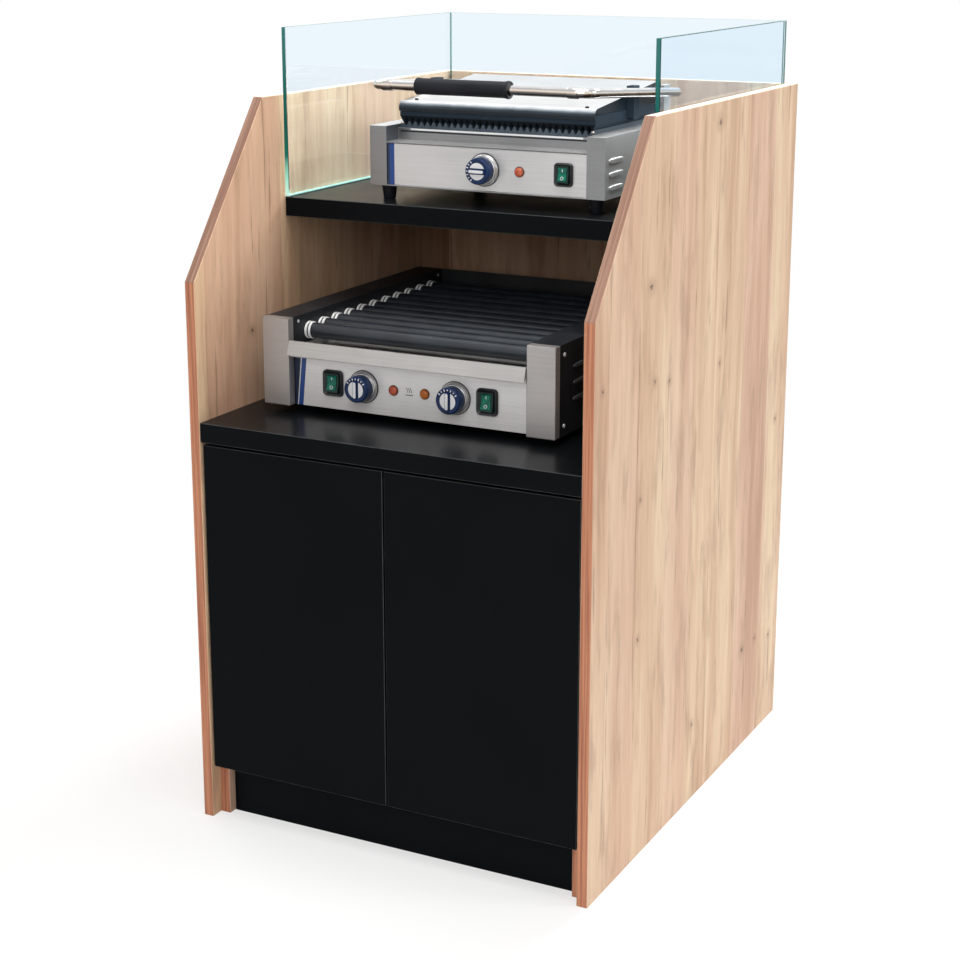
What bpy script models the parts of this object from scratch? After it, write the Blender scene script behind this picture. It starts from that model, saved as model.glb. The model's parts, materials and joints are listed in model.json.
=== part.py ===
"""Hot dog counter: a decor-board cabinet that carries a roller grill and a contact grill.

The counter is built round its two grills. Its inside width and depth come from the roller grill and the
room left about it, and its heights are stacked up from the floor. Metres, +Z up, the front faces -Y, and
the origin is on the floor below the middle of the counter.
"""

import math

import bmesh
import bpy
from mathutils import Vector

for old in list(bpy.data.objects):
    bpy.data.objects.remove(old, do_unlink=True)

# Gaps and small details shared by all pieces
CONTACT = 0.0003          # gap left between two pieces that touch
EDGE = 0.0008             # bevel along the edges of the boards
OVERCUT = 0.005           # how far a cutter reaches past the face that it opens

# Counter, boards and heights
BOARD = 0.018             # decor board of the panels, doors, plinth and carcass
PLINTH_HEIGHT = 0.090
PLINTH_SETBACK = 0.0385   # front of the plinth behind the front of the side panels
DOOR_HEIGHT = 0.551
DOOR_TOP_GAP = 0.005      # gap between the doors and the worktop
DOOR_GAP = 0.003          # gap beside and between the doors
DOOR_SETBACK = 0.004      # front of the doors behind the front of the side panels
BUFFER_GAP = 0.0015       # door back to carcass front
WORKTOP_THICKNESS = 0.032
WORKTOP_SETBACK = 0.001
NICHE_HEIGHT = 0.295      # worktop to the underside of the upper shelf
SHELF_THICKNESS = 0.032
SHELF_SETBACK = 0.265     # front of the upper shelf behind the front of the side panels
PANEL_RISE = 0.168        # side and back panels above the upper shelf
SLOPE_RISE = 0.225        # start of the side panels' sloping edge above the worktop
SLOPE_RUN = 0.206         # how far back that edge runs up to the panels' top
GLASS_THICKNESS = 0.008
GLASS_HEIGHT = 0.276

# Door hinges
HINGE_INSET = 0.090       # hinge middle to the door's top or bottom edge
HINGE_PLATE = (0.003, 0.048, 0.040)     # thickness, length and height of the mounting plate
HINGE_PLATE_SETBACK = 0.016             # plate behind the carcass front
HINGE_ARM = (0.011, 0.052, 0.015)       # thickness, length behind the carcass front, and height of the arm

# Roller grill
GRILL_SETBACK = 0.119     # front of the grill behind the front of the side panels
GRILL_LEFT_ROOM = 0.0455  # room on the left, between side panel and grill
GRILL_RIGHT_ROOM = 0.0985
GRILL_REAR_ROOM = 0.201
GRILL_SHEET = 0.002
GRILL_FOOT_HEIGHT = 0.012
GRILL_FOOT_RADIUS = 0.015
GRILL_FOOT_INSET = 0.050
GRILL_SIDE = 0.0485       # width of each side housing
GRILL_CONTROL = 0.082     # underside of the grill to the floor of the drip tray
GRILL_RECESS = 0.0165     # control panel behind the front caps
ROLLER_LENGTH = 0.423     # between the two side housings
ROLLER_COUNT = 11
ROLLER_RADIUS = 0.0125
ROLLER_PITCH = 0.0407
ROLLER_FRONT_ROOM = 0.0605   # first roller's axis behind the grill's front
ROLLER_REAR_ROOM = 0.0525    # last roller's axis before the grill's back
ROLLER_SIDES = 16
SEAL_RADIUS = 0.01425
SEAL_LENGTH = 0.014
JOURNAL_RADIUS = 0.006
JOURNAL_CLEARANCE = 0.0005
JOURNAL_STUB = 0.006      # journal beyond the wall on the side without a drive
SIDE_RISE = 0.028         # top of the side housings above the rollers' axes
SPROCKET_RADIUS = 0.0115
SPROCKET_THICKNESS = 0.006
SPROCKET_STANDOFF = 0.008    # sprocket beyond the wall
CHAIN_SLACK = 0.0008      # chain to sprocket
CHAIN_HEIGHT = 0.004
CHAIN_MARGIN = 0.0005     # chain narrower than the sprocket on each face
DRIVE_RADIUS = 0.004      # shaft of the drive sprocket
DRIVE_HEIGHT = 0.033      # drive shaft above the grill's underside
GEARBOX = (0.032, 0.058, 0.056)
MOTOR_RADIUS = 0.023
MOTOR_LENGTH = 0.055
TRAY_SHEET = 0.0015
TRAY_RIM = 0.014          # height of the drip tray's side walls
TRAY_CLEARANCE = 0.0065   # tray rim to the rollers
TRAY_SIDE_GAP = 0.001
TRAY_REAR_GAP = 0.018
TRAY_LEDGE = 0.010        # ledge in each side housing that the tray slides on
LIP_RISE = 0.012          # drip tray's front lip above its side walls
LIP_DROP = 0.022
LIP_LEAN = 0.007          # lower edge of the lip in front of the upper edge

# Contact grill
PRESS_OFFSET = 0.019      # middle of the contact grill to the right of the counter's middle
PRESS_SETBACK = 0.038     # front of the contact grill behind the front of the upper shelf
PRESS_SHEET = 0.002
PRESS_FOOT_HEIGHT = 0.024
PRESS_FOOT_RADIUS = 0.013
PRESS_FOOT_TAPER = 0.003
PRESS_FOOT_INSET = 0.023
PRESS_CONTROL = 0.072     # height of the control box
PRESS_BAND = 0.019        # deck above the control box
PRESS_COLUMN = 0.031      # width of each side box
PRESS_COLUMN_RISE = 0.006    # side boxes above the deck
PRESS_PANEL_RECESS = 0.0015
PRESS_TROUGH = 0.039      # deck's front behind the front of the control box
PRESS_REAR_ROOM = 0.068   # back of the grill behind its plates
PLATE_WIDTH = 0.349
PLATE_DEPTH = 0.262
PLATE_SIDE_GAP = 0.0035   # plates to the side boxes
PLATE_FRONT_GAP = 0.001
LOWER_PLATE = 0.0108
UPPER_PLATE = 0.022
RIB_COUNT = 31
RIB_HEIGHT = 0.007
RIB_SHOULDER = 0.0022     # flat at the root and at the tip of a rib
LID_INSET = 0.0025        # lid behind the edges of the upper plate
LID_FRONT = 0.007         # height of the lid's front face
LID_FOLD = (0.006, 0.004)    # depth and height of the fold above that face
LID_BACK = 0.036          # height of the lid's back
HANDLE_RADIUS = 0.006
HANDLE_INSET = 0.016      # handle arms inside the grill's outer sides
HANDLE_REACH = 0.019      # front bar before the front of the grill
HANDLE_RISE = 0.024       # front bar above the rear pivot
HANDLE_BEND = 0.024       # radius of the handle's two corners
PIVOT_RISE = 0.050        # rear pivot above the deck
PIVOT_REAR_ROOM = 0.043   # rear pivot before the back of the grill
PIVOT_RADIUS = 0.004
PIVOT_CLEARANCE = 0.0005
LUG = (0.008, 0.028, 0.012)  # thickness, length, and height above the pivot, of each rear lug
LUG_SIDE_GAP = 0.004      # lugs inside the side boxes
PLATE_PIVOT = 0.136       # pivot of the upper plate behind its front edge
EAR = (0.0115, 0.022, 0.011) # reach beside the plate, length, and height above the pivot, of each ear
EAR_ROOT = 0.0015         # how far the ear grows into the plate
GRIP_RADIUS = 0.014
GRIP_LENGTH = 0.165
GRIP_OFFSET = -0.027      # middle of the grip from the middle of the bar

# Controls on both grills
KNOB_RING_RADIUS = 0.026
KNOB_RING_HEIGHT = 0.009
KNOB_RADIUS = 0.0215
KNOB_HEIGHT = 0.030
KNOB_GRIP = (0.009, 0.005)   # width and height of the bar across the knob's face
SPINDLE_RADIUS = 0.003
SPINDLE_LENGTH = 0.012
SPINDLE_CLEARANCE = 0.0005
LAMP_RADIUS = 0.0075
LAMP_HEIGHT = 0.007
LAMP_RIM = 0.003          # straight part of the lens above the panel
LAMP_STEM = 0.004
ROCKER_WIDTH = 0.024
ROCKER_HEIGHT = 0.030
ROCKER_FRONT = 0.008      # rocker before the panel
ROCKER_BACK = 0.004       # rocker behind the panel's front
ROCKER_HOLLOW = 0.002
ROCKER_TURN = math.radians(9)
ROCKER_END_GAP = 0.0015
GRILL_CONTROL_HEIGHT = 0.043    # controls above the roller grill's underside
GRILL_KNOB_AT = 0.082     # roller grill's controls from its middle, on both sides
GRILL_LAMP_AT = 0.028
GRILL_ROCKER_AT = 0.138
PRESS_CONTROL_HEIGHT = 0.036    # controls above the contact grill's underside
PRESS_KNOB_AT = 0.000     # contact grill's controls from its middle
PRESS_LAMP_AT = 0.062
PRESS_ROCKER_AT = 0.139
GLAND_RADIUS = 0.008      # cable gland at the back of each grill
GLAND_BORE = 0.004
GLAND_LENGTH = 0.012
GLAND_AT = 0.120
GLAND_HEIGHT = 0.034

# Overall sizes that follow from the pieces
GRILL_WIDTH = ROLLER_LENGTH + 2 * GRILL_SIDE
GRILL_DEPTH = ROLLER_FRONT_ROOM + (ROLLER_COUNT - 1) * ROLLER_PITCH + ROLLER_REAR_ROOM
INSIDE = (GRILL_LEFT_ROOM + GRILL_WIDTH + GRILL_RIGHT_ROOM) / 2    # half the width between the side panels
HALF_WIDTH = INSIDE + BOARD
DEPTH = GRILL_SETBACK + GRILL_DEPTH + GRILL_REAR_ROOM + BOARD
FRONT = -DEPTH / 2
BACK = DEPTH / 2
BACK_INSIDE = BACK - BOARD
DOOR_TOP = PLINTH_HEIGHT + DOOR_HEIGHT
WORKTOP_BOTTOM = DOOR_TOP + DOOR_TOP_GAP
WORKTOP_TOP = WORKTOP_BOTTOM + WORKTOP_THICKNESS
SHELF_TOP = WORKTOP_TOP + NICHE_HEIGHT + SHELF_THICKNESS
PANEL_TOP = SHELF_TOP + PANEL_RISE
DOOR_FRONT = FRONT + DOOR_SETBACK
DOOR_BACK = DOOR_FRONT + BOARD
CARCASS_FRONT = DOOR_BACK + BUFFER_GAP
CARCASS_INSIDE = INSIDE - CONTACT - BOARD
SIDES = (("left", -1), ("right", 1))

# Colour, roughness, metallic value and transmission of each finish
FINISHES = {
    "oak": ((0.62, 0.42, 0.27), 0.55, 0.0, 0.0),
    "black_board": ((0.012, 0.012, 0.014), 0.40, 0.0, 0.0),
    "glass": ((0.80, 0.93, 0.92), 0.03, 0.0, 0.9),
    "stainless": ((0.62, 0.61, 0.59), 0.32, 1.0, 0.0),
    "zinc": ((0.55, 0.56, 0.57), 0.40, 1.0, 0.0),
    "chrome": ((0.80, 0.80, 0.81), 0.10, 1.0, 0.0),
    "black_steel": ((0.015, 0.016, 0.020), 0.45, 0.0, 0.0),
    "black_coating": ((0.018, 0.020, 0.026), 0.38, 0.0, 0.0),
    "cast_iron": ((0.020, 0.024, 0.030), 0.50, 0.3, 0.0),
    "rubber": ((0.012, 0.012, 0.013), 0.75, 0.0, 0.0),
    "blue_plastic": ((0.020, 0.045, 0.200), 0.35, 0.0, 0.0),
    "green_plastic": ((0.010, 0.230, 0.130), 0.30, 0.0, 0.0),
    "amber_plastic": ((0.750, 0.130, 0.030), 0.25, 0.0, 0.0),
}


def solid(bm):
    """Closes up a bmesh and turns it into a mesh whose faces point outwards."""
    bmesh.ops.remove_doubles(bm, verts=bm.verts, dist=1e-6)
    bmesh.ops.recalc_face_normals(bm, faces=bm.faces)
    mesh = bpy.data.meshes.new("solid")
    bm.to_mesh(mesh)
    bm.free()
    return mesh


def box(low, high):
    """A rectangular block between two opposite corners."""
    bm = bmesh.new()
    bmesh.ops.create_cube(bm, size=1.0)
    for vert in bm.verts:
        vert.co = [a + (c + 0.5) * (b - a) for a, b, c in zip(low, high, vert.co)]
    return solid(bm)


def prism(outline, axis, low, high):
    """A flat outline carried along an axis; its points hold the other two coordinates in order."""
    def place(point, along):
        spot = list(point)
        spot.insert("XYZ".index(axis), along)
        return Vector(spot)

    bm = bmesh.new()
    face = bm.faces.new([bm.verts.new(place(point, low)) for point in outline])
    pulled = bmesh.ops.extrude_face_region(bm, geom=[face])["geom"]
    moved = [item for item in pulled if isinstance(item, bmesh.types.BMVert)]
    bmesh.ops.translate(bm, verts=moved, vec=place((0, 0), high - low))
    return solid(bm)


def turned(profile, axis, sides, middle=(0, 0, 0), hollow=False):
    """A profile of (radius, distance along the axis) points turned once round the axis."""
    along = Vector([float(letter == axis) for letter in "XYZ"])
    out = Vector((0, 0, 1)) if axis != "Z" else Vector((1, 0, 0))
    bm = bmesh.new()
    verts = [bm.verts.new(Vector(middle) + along * place + out * radius) for radius, place in profile]
    ends = verts[1:] + verts[:1] if hollow else verts[1:]
    edges = [bm.edges.new(pair) for pair in zip(verts, ends)]
    bmesh.ops.spin(bm, geom=verts + edges, cent=middle, axis=along, angle=math.tau, steps=sides,
                   use_merge=True)
    return solid(bm)


def peg(axis, radius, low, high, middle=(0, 0, 0), sides=16):
    """A plain round bar along an axis."""
    return turned([(0, low), (radius, low), (radius, high), (0, high)], axis, sides, middle)


def rod(points, radius):
    """A round bar bent along a line of points, with closed ends."""
    curve = bpy.data.curves.new("rod", "CURVE")
    curve.dimensions = "3D"
    spline = curve.splines.new("POLY")
    spline.points.add(len(points) - 1)
    for spot, point in zip(spline.points, points):
        spot.co = (*point, 1)
    curve.bevel_depth = radius
    curve.bevel_resolution = 3
    curve.use_fill_caps = True
    guide = bpy.data.objects.new("rod", curve)
    bm = bmesh.new()
    bm.from_mesh(bpy.data.meshes.new_from_object(guide))
    bpy.data.objects.remove(guide, do_unlink=True)
    return solid(bm)


def together(*meshes):
    """Separate solids gathered into one mesh, for a cutter with several places."""
    bm = bmesh.new()
    for mesh in meshes:
        bm.from_mesh(mesh)
    return solid(bm)


def finish_of(name, finish):
    """The material of one piece: a plain Principled surface."""
    colour, roughness, metallic, transmission = FINISHES[finish]
    material = bpy.data.materials.new(name)
    material.use_nodes = True
    shader = material.node_tree.nodes["Principled BSDF"]
    shader.inputs["Base Color"].default_value = (*colour, 1)
    shader.inputs["Roughness"].default_value = roughness
    shader.inputs["Metallic"].default_value = metallic
    shader.inputs["Transmission Weight"].default_value = transmission
    return material


def link(name, data, place, parent):
    """Puts an object into the scene at a place in its parent's frame."""
    thing = bpy.data.objects.new(name, data)
    thing.location = place
    thing.parent = parent
    bpy.context.scene.collection.objects.link(thing)
    return thing


def group(name, place):
    """An empty that carries the pieces of one sub-assembly."""
    return link(name, None, place, None)


def shape_with(piece, mesh, operation):
    """Joins a mesh to a piece, or cuts it out of it; the mesh is given in the piece's own frame."""
    helper = link(piece.name + "_" + operation.lower(), mesh, piece.location, piece.parent)
    helper.rotation_euler = piece.rotation_euler
    helper.hide_render = True
    helper.display_type = "WIRE"
    change = piece.modifiers.new(operation.title(), "BOOLEAN")
    change.operation = operation
    change.solver = "EXACT"
    change.object = helper


def piece(name, mesh, finish, place=(0, 0, 0), parent=None, turn=(0, 0, 0), edge=0.0, smooth=False,
          joined=(), cuts=()):
    """One named part: its base shape, then a bevel, then what is joined to it and cut out of it."""
    part = link(name, mesh, place, parent)
    part.rotation_euler = turn
    mesh.materials.append(finish_of(name, finish))
    if smooth:
        mesh.shade_smooth()
        mesh.set_sharp_from_angle(angle=math.radians(35))
    if edge:
        bevel = part.modifiers.new("Edge", "BEVEL")
        bevel.width = edge
        bevel.segments = 1
        bevel.limit_method = "ANGLE"
    for extra in joined:
        shape_with(part, extra, "UNION")
    for hole in cuts:
        shape_with(part, hole, "DIFFERENCE")
    return part


def board(name, low, high, finish):
    """A bevelled board between two corners, with its origin in its middle."""
    middle = [(a + b) / 2 for a, b in zip(low, high)]
    half = [(b - a) / 2 for a, b in zip(low, high)]
    return piece(name, box([-h for h in half], half), finish, middle, edge=EDGE)


def build_cabinet():
    """Side panels with their sloping edge, carcass, plinth, worktop, upper shelf and back."""
    outline = [(FRONT, 0), (BACK, 0), (BACK, PANEL_TOP), (FRONT + SLOPE_RUN, PANEL_TOP),
               (FRONT, WORKTOP_TOP + SLOPE_RISE)]
    for side, way in SIDES:
        edges = sorted((way * INSIDE, way * HALF_WIDTH))
        middle = sum(edges) / 2
        panel = prism(outline, "X", edges[0] - middle, edges[1] - middle)
        piece(side + "_side_panel", panel, "oak", (middle, 0, 0), edge=EDGE)
        low, high = sorted((way * (INSIDE - CONTACT), way * CARCASS_INSIDE))
        board(side + "_carcass_side", (low, CARCASS_FRONT, 0),
              (high, BACK_INSIDE - CONTACT, WORKTOP_BOTTOM - CONTACT), "oak")
    span = INSIDE - CONTACT
    inner = CARCASS_INSIDE - CONTACT
    rear = BACK_INSIDE - CONTACT
    board("back_panel", (-span, BACK_INSIDE, 0), (span, BACK, PANEL_TOP), "oak")
    plinth_front = FRONT + PLINTH_SETBACK
    board("plinth_board", (-inner, plinth_front, 0),
          (inner, plinth_front + BOARD, PLINTH_HEIGHT - CONTACT), "black_board")
    board("cupboard_floor", (-inner, CARCASS_FRONT, PLINTH_HEIGHT),
          (inner, rear, PLINTH_HEIGHT + BOARD), "black_board")
    board("worktop", (-span, FRONT + WORKTOP_SETBACK, WORKTOP_BOTTOM),
          (span, rear, WORKTOP_TOP), "black_board")
    board("upper_shelf", (-span, FRONT + SHELF_SETBACK, SHELF_TOP - SHELF_THICKNESS),
          (span, rear, SHELF_TOP), "black_board")


def build_glass():
    """Three panes that stand on the upper shelf, against the side panels and the back panel."""
    low = SHELF_TOP + CONTACT
    high = SHELF_TOP + GLASS_HEIGHT
    rear = BACK_INSIDE - CONTACT
    outer = INSIDE - CONTACT
    inner = outer - GLASS_THICKNESS
    for side, way in SIDES:
        near, far = sorted((way * inner, way * outer))
        board(side + "_glass", (near, FRONT + SHELF_SETBACK, low), (far, rear, high), "glass")
    reach = inner - CONTACT
    board("back_glass", (-reach, rear - GLASS_THICKNESS, low), (reach, rear, high), "glass")


def build_doors():
    """Two doors on concealed hinges; each door's origin is on its swing axis, at its front outer edge."""
    width = INSIDE - 1.5 * DOOR_GAP
    arm_thickness, arm_length, arm_height = HINGE_ARM
    plate_thickness, plate_length, plate_height = HINGE_PLATE
    levels = (("upper", DOOR_TOP - HINGE_INSET), ("lower", PLINTH_HEIGHT + HINGE_INSET))
    for side, way in SIDES:
        near, far = sorted((0, -way * width))
        leaf = box((near, 0, 0), (far, BOARD, DOOR_HEIGHT))
        axis = (way * (INSIDE - DOOR_GAP), DOOR_FRONT, PLINTH_HEIGHT)
        piece(side + "_door", leaf, "black_board", axis, edge=EDGE)
        for level, height in levels:
            wall = way * (CARCASS_INSIDE - CONTACT)
            arm_x = sorted((0, -way * arm_thickness))
            arm_y = (DOOR_BACK + CONTACT - CARCASS_FRONT, arm_length)
            arm = box((arm_x[0], arm_y[0], -arm_height / 2), (arm_x[1], arm_y[1], arm_height / 2))
            plate_x = sorted((0, -way * plate_thickness))
            plate_y = (HINGE_PLATE_SETBACK, HINGE_PLATE_SETBACK + plate_length)
            plate = box((plate_x[0], plate_y[0], -plate_height / 2),
                        (plate_x[1], plate_y[1], plate_height / 2))
            piece(side + "_" + level + "_hinge", arm, "zinc", (wall, CARCASS_FRONT, height), joined=[plate])


def add_knob(name, place, parent):
    """A thermostat knob on its axis: spindle through the panel, ring, tapered cap and a bar across it."""
    profile = [(0, SPINDLE_LENGTH), (SPINDLE_RADIUS, SPINDLE_LENGTH), (SPINDLE_RADIUS, -CONTACT),
               (KNOB_RING_RADIUS, -CONTACT), (KNOB_RING_RADIUS, -KNOB_RING_HEIGHT / 2),
               (KNOB_RADIUS + EDGE, -KNOB_RING_HEIGHT), (KNOB_RADIUS, -KNOB_RING_HEIGHT),
               (KNOB_RADIUS - EDGE, -KNOB_HEIGHT + EDGE), (KNOB_RADIUS - 2 * EDGE, -KNOB_HEIGHT),
               (0, -KNOB_HEIGHT)]
    width, height = KNOB_GRIP
    reach = KNOB_RADIUS - 3 * EDGE
    bar = box((-width / 2, -KNOB_HEIGHT - height, -reach), (width / 2, -KNOB_HEIGHT + height, reach))
    piece(name, turned(profile, "Y", 24), "blue_plastic", place, parent, smooth=True, joined=[bar])


def add_lamp(name, place, parent):
    """A pilot lamp: a domed lens with a stem through the panel."""
    profile = [(0, SPINDLE_LENGTH), (LAMP_STEM, SPINDLE_LENGTH), (LAMP_STEM, -CONTACT),
               (LAMP_RADIUS, -CONTACT), (LAMP_RADIUS, -LAMP_RIM),
               ((LAMP_RADIUS + LAMP_STEM) / 2, -(LAMP_RIM + 3 * LAMP_HEIGHT) / 4), (0, -LAMP_HEIGHT)]
    piece(name, turned(profile, "Y", 12), "amber_plastic", place, parent, smooth=True)


def add_rocker(name, place, parent):
    """A rocker switch that rests tilted to one side and turns about X in its hole in the panel."""
    half = ROCKER_HEIGHT / 2
    shoulder = half - ROCKER_BACK / 2
    outline = [(-ROCKER_FRONT, -half), (-ROCKER_FRONT + ROCKER_HOLLOW, 0), (-ROCKER_FRONT, half),
               (0, half), (ROCKER_BACK, shoulder), (ROCKER_BACK, -shoulder), (0, -half)]
    paddle = prism(outline, "X", -ROCKER_WIDTH / 2, ROCKER_WIDTH / 2)
    piece(name, paddle, "green_plastic", place, parent, turn=(-ROCKER_TURN, 0, 0))


def control_holes(knobs, lamps, rockers, height, front, back):
    """Cutters through a control panel: round for spindles and stems, square for the rockers."""
    holes = []
    for at in knobs:
        holes.append(peg("Y", SPINDLE_RADIUS + SPINDLE_CLEARANCE, front, back, (at, 0, height)))
    for at in lamps:
        holes.append(peg("Y", LAMP_STEM + SPINDLE_CLEARANCE, front, back, (at, 0, height)))
    half = ROCKER_WIDTH / 2 + CONTACT
    rise = ROCKER_HEIGHT / 2 + ROCKER_END_GAP
    for at in rockers:
        holes.append(box((at - half, front, height - rise), (at + half, back, height + rise)))
    return together(*holes)


def gland(place):
    """A cable gland that stands out of a rear wall, with a blind bore."""
    profile = [(0, GLAND_BORE), (GLAND_BORE, GLAND_BORE), (GLAND_BORE, GLAND_LENGTH),
               (GLAND_RADIUS, GLAND_LENGTH), (GLAND_RADIUS, -EDGE), (0, -EDGE)]
    return turned(profile, "Y", 12, place)


def loop_outline(centres, offset, steps=8):
    """The line that a taut loop takes at a fixed distance outside a few points given anticlockwise."""
    points = []
    for index, centre in enumerate(centres):
        before = Vector(centre) - Vector(centres[index - 1])
        after = Vector(centres[(index + 1) % len(centres)]) - Vector(centre)
        start = math.atan2(-before.x, before.y)
        sweep = before.angle(after)
        for step in range(steps + 1):
            angle = start + sweep * step / steps
            points.append((centre[0] + offset * math.cos(angle), centre[1] + offset * math.sin(angle)))
    return points


def build_roller_grill():
    """Roller grill on the worktop; its group's origin is at the front of the caps, on the worktop."""
    middle = -INSIDE + GRILL_LEFT_ROOM + GRILL_WIDTH / 2
    grill = group("roller_grill", (middle, FRONT + GRILL_SETBACK, WORKTOP_TOP))
    half = GRILL_WIDTH / 2
    wall = ROLLER_LENGTH / 2
    under = GRILL_FOOT_HEIGHT
    tray_floor = under + GRILL_CONTROL
    rim = tray_floor + TRAY_RIM
    axis_height = rim + TRAY_CLEARANCE + ROLLER_RADIUS
    top = axis_height + SIDE_RISE
    axes = [(ROLLER_FRONT_ROOM + index * ROLLER_PITCH, axis_height) for index in range(ROLLER_COUNT)]
    drive = ((axes[0][0] + axes[-1][0]) / 2, under + DRIVE_HEIGHT)
    panel_back = GRILL_RECESS + GRILL_SHEET
    rear = GRILL_DEPTH - GRILL_SHEET

    # Base: bottom sheet and rear wall in one fold, with pressed feet and the cable gland
    fold = [(panel_back + CONTACT, under), (GRILL_DEPTH, under), (GRILL_DEPTH, top), (rear, top),
            (rear, under + GRILL_SHEET), (panel_back + CONTACT, under + GRILL_SHEET)]
    feet = [peg("Z", GRILL_FOOT_RADIUS, CONTACT, under + GRILL_SHEET / 2, (x, y, 0))
            for x in (-half + GRILL_FOOT_INSET, half - GRILL_FOOT_INSET)
            for y in (panel_back + GRILL_FOOT_INSET, GRILL_DEPTH - GRILL_FOOT_INSET)]
    piece("roller_grill_base", prism(fold, "X", -half, half), "black_steel", parent=grill,
          joined=[together(*feet), gland((GLAND_AT, GRILL_DEPTH, under + GLAND_HEIGHT))])

    # Side housings: folded channels with a ledge for the drip tray and holes for the roller journals
    for side, way in SIDES:
        foot = under + GRILL_SHEET + CONTACT
        ledge = tray_floor - CONTACT
        inner = wall + GRILL_SHEET
        channel = [(half, foot), (half - GRILL_SHEET, foot), (half - GRILL_SHEET, top - GRILL_SHEET),
                   (inner, top - GRILL_SHEET), (inner, foot), (wall, foot), (wall, ledge - GRILL_SHEET),
                   (wall - TRAY_LEDGE, ledge - GRILL_SHEET), (wall - TRAY_LEDGE, ledge), (wall, ledge),
                   (wall, top), (half, top)]
        reach = sorted((way * (wall - GRILL_SHEET), way * (inner + GRILL_SHEET)))
        holes = [peg("X", JOURNAL_RADIUS + JOURNAL_CLEARANCE, *reach, (0, *axis)) for axis in axes]
        if side == "right":
            holes.append(peg("X", DRIVE_RADIUS + JOURNAL_CLEARANCE, *reach, (0, *drive)))
        shell = prism([(way * x, z) for x, z in channel], "Y", GRILL_RECESS + CONTACT, rear - CONTACT)
        piece("roller_grill_" + side + "_housing", shell, "black_steel", parent=grill,
              cuts=[together(*holes)])
        edges = sorted((way * wall, way * half))
        hollow = box((edges[0] + GRILL_SHEET, GRILL_SHEET, under + GRILL_SHEET),
                     (edges[1] - GRILL_SHEET, GRILL_RECESS + OVERCUT, top - GRILL_SHEET))
        piece("roller_grill_" + side + "_cap", box((edges[0], 0, under), (edges[1], GRILL_RECESS, top)),
              "stainless", parent=grill, edge=EDGE, cuts=[hollow])

    # Control panel below the tray's ledges, with its knobs, lamps and rockers
    controls = under + GRILL_CONTROL_HEIGHT
    both = (-1, 1)
    holes = control_holes([way * GRILL_KNOB_AT for way in both], [way * GRILL_LAMP_AT for way in both],
                          [way * GRILL_ROCKER_AT for way in both], controls,
                          GRILL_RECESS - OVERCUT, panel_back + OVERCUT)
    face = box((-wall + CONTACT, GRILL_RECESS, under),
               (wall - CONTACT, panel_back, tray_floor - 2 * CONTACT - GRILL_SHEET))
    piece("roller_grill_panel", face, "stainless", parent=grill, cuts=[holes])
    for side, way in SIDES:
        add_knob("roller_grill_" + side + "_knob", (way * GRILL_KNOB_AT, GRILL_RECESS, controls), grill)
        add_lamp("roller_grill_" + side + "_lamp", (way * GRILL_LAMP_AT, GRILL_RECESS, controls), grill)
        add_rocker("roller_grill_" + side + "_rocker", (way * GRILL_ROCKER_AT, GRILL_RECESS, controls), grill)

    # Drip tray: a shallow pan on the two ledges, whose front wall folds over into a leaning lip
    reach = wall - TRAY_SIDE_GAP
    lip_top = rim + LIP_RISE
    pan_front = TRAY_SHEET
    pan = box((-reach, pan_front, tray_floor), (reach, rear - TRAY_REAR_GAP, rim))
    lip = [(pan_front, tray_floor), (pan_front + TRAY_SHEET, tray_floor), (pan_front + TRAY_SHEET, lip_top),
           (0, lip_top), (-LIP_LEAN, lip_top - LIP_DROP), (TRAY_SHEET - LIP_LEAN, lip_top - LIP_DROP),
           (pan_front, lip_top - 3 * TRAY_SHEET)]
    inside = box((-reach + TRAY_SHEET, pan_front + TRAY_SHEET, tray_floor + TRAY_SHEET),
                 (reach - TRAY_SHEET, rear - TRAY_REAR_GAP - TRAY_SHEET, lip_top + OVERCUT))
    piece("drip_tray", pan, "stainless", parent=grill, joined=[prism(lip, "X", -reach, reach)], cuts=[inside])

    # Rollers: tube, a seal at each end, journals through the walls, and a sprocket on the right journal
    seal_end = wall - CONTACT
    seal_start = seal_end - SEAL_LENGTH
    stub = wall + GRILL_SHEET + JOURNAL_STUB
    sprocket = wall + GRILL_SHEET + SPROCKET_STANDOFF
    sprocket_end = sprocket + SPROCKET_THICKNESS
    profile = [(0, -stub), (JOURNAL_RADIUS, -stub), (JOURNAL_RADIUS, -seal_end), (SEAL_RADIUS, -seal_end),
               (SEAL_RADIUS, -seal_start), (ROLLER_RADIUS, -seal_start), (ROLLER_RADIUS, seal_start),
               (SEAL_RADIUS, seal_start), (SEAL_RADIUS, seal_end), (JOURNAL_RADIUS, seal_end),
               (JOURNAL_RADIUS, sprocket), (SPROCKET_RADIUS, sprocket), (SPROCKET_RADIUS, sprocket_end),
               (0, sprocket_end)]
    for number, (y, z) in enumerate(axes, 1):
        piece(f"roller_{number:02d}", turned(profile, "X", ROLLER_SIDES), "black_coating", (0, y, z), grill,
              smooth=True)

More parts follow.
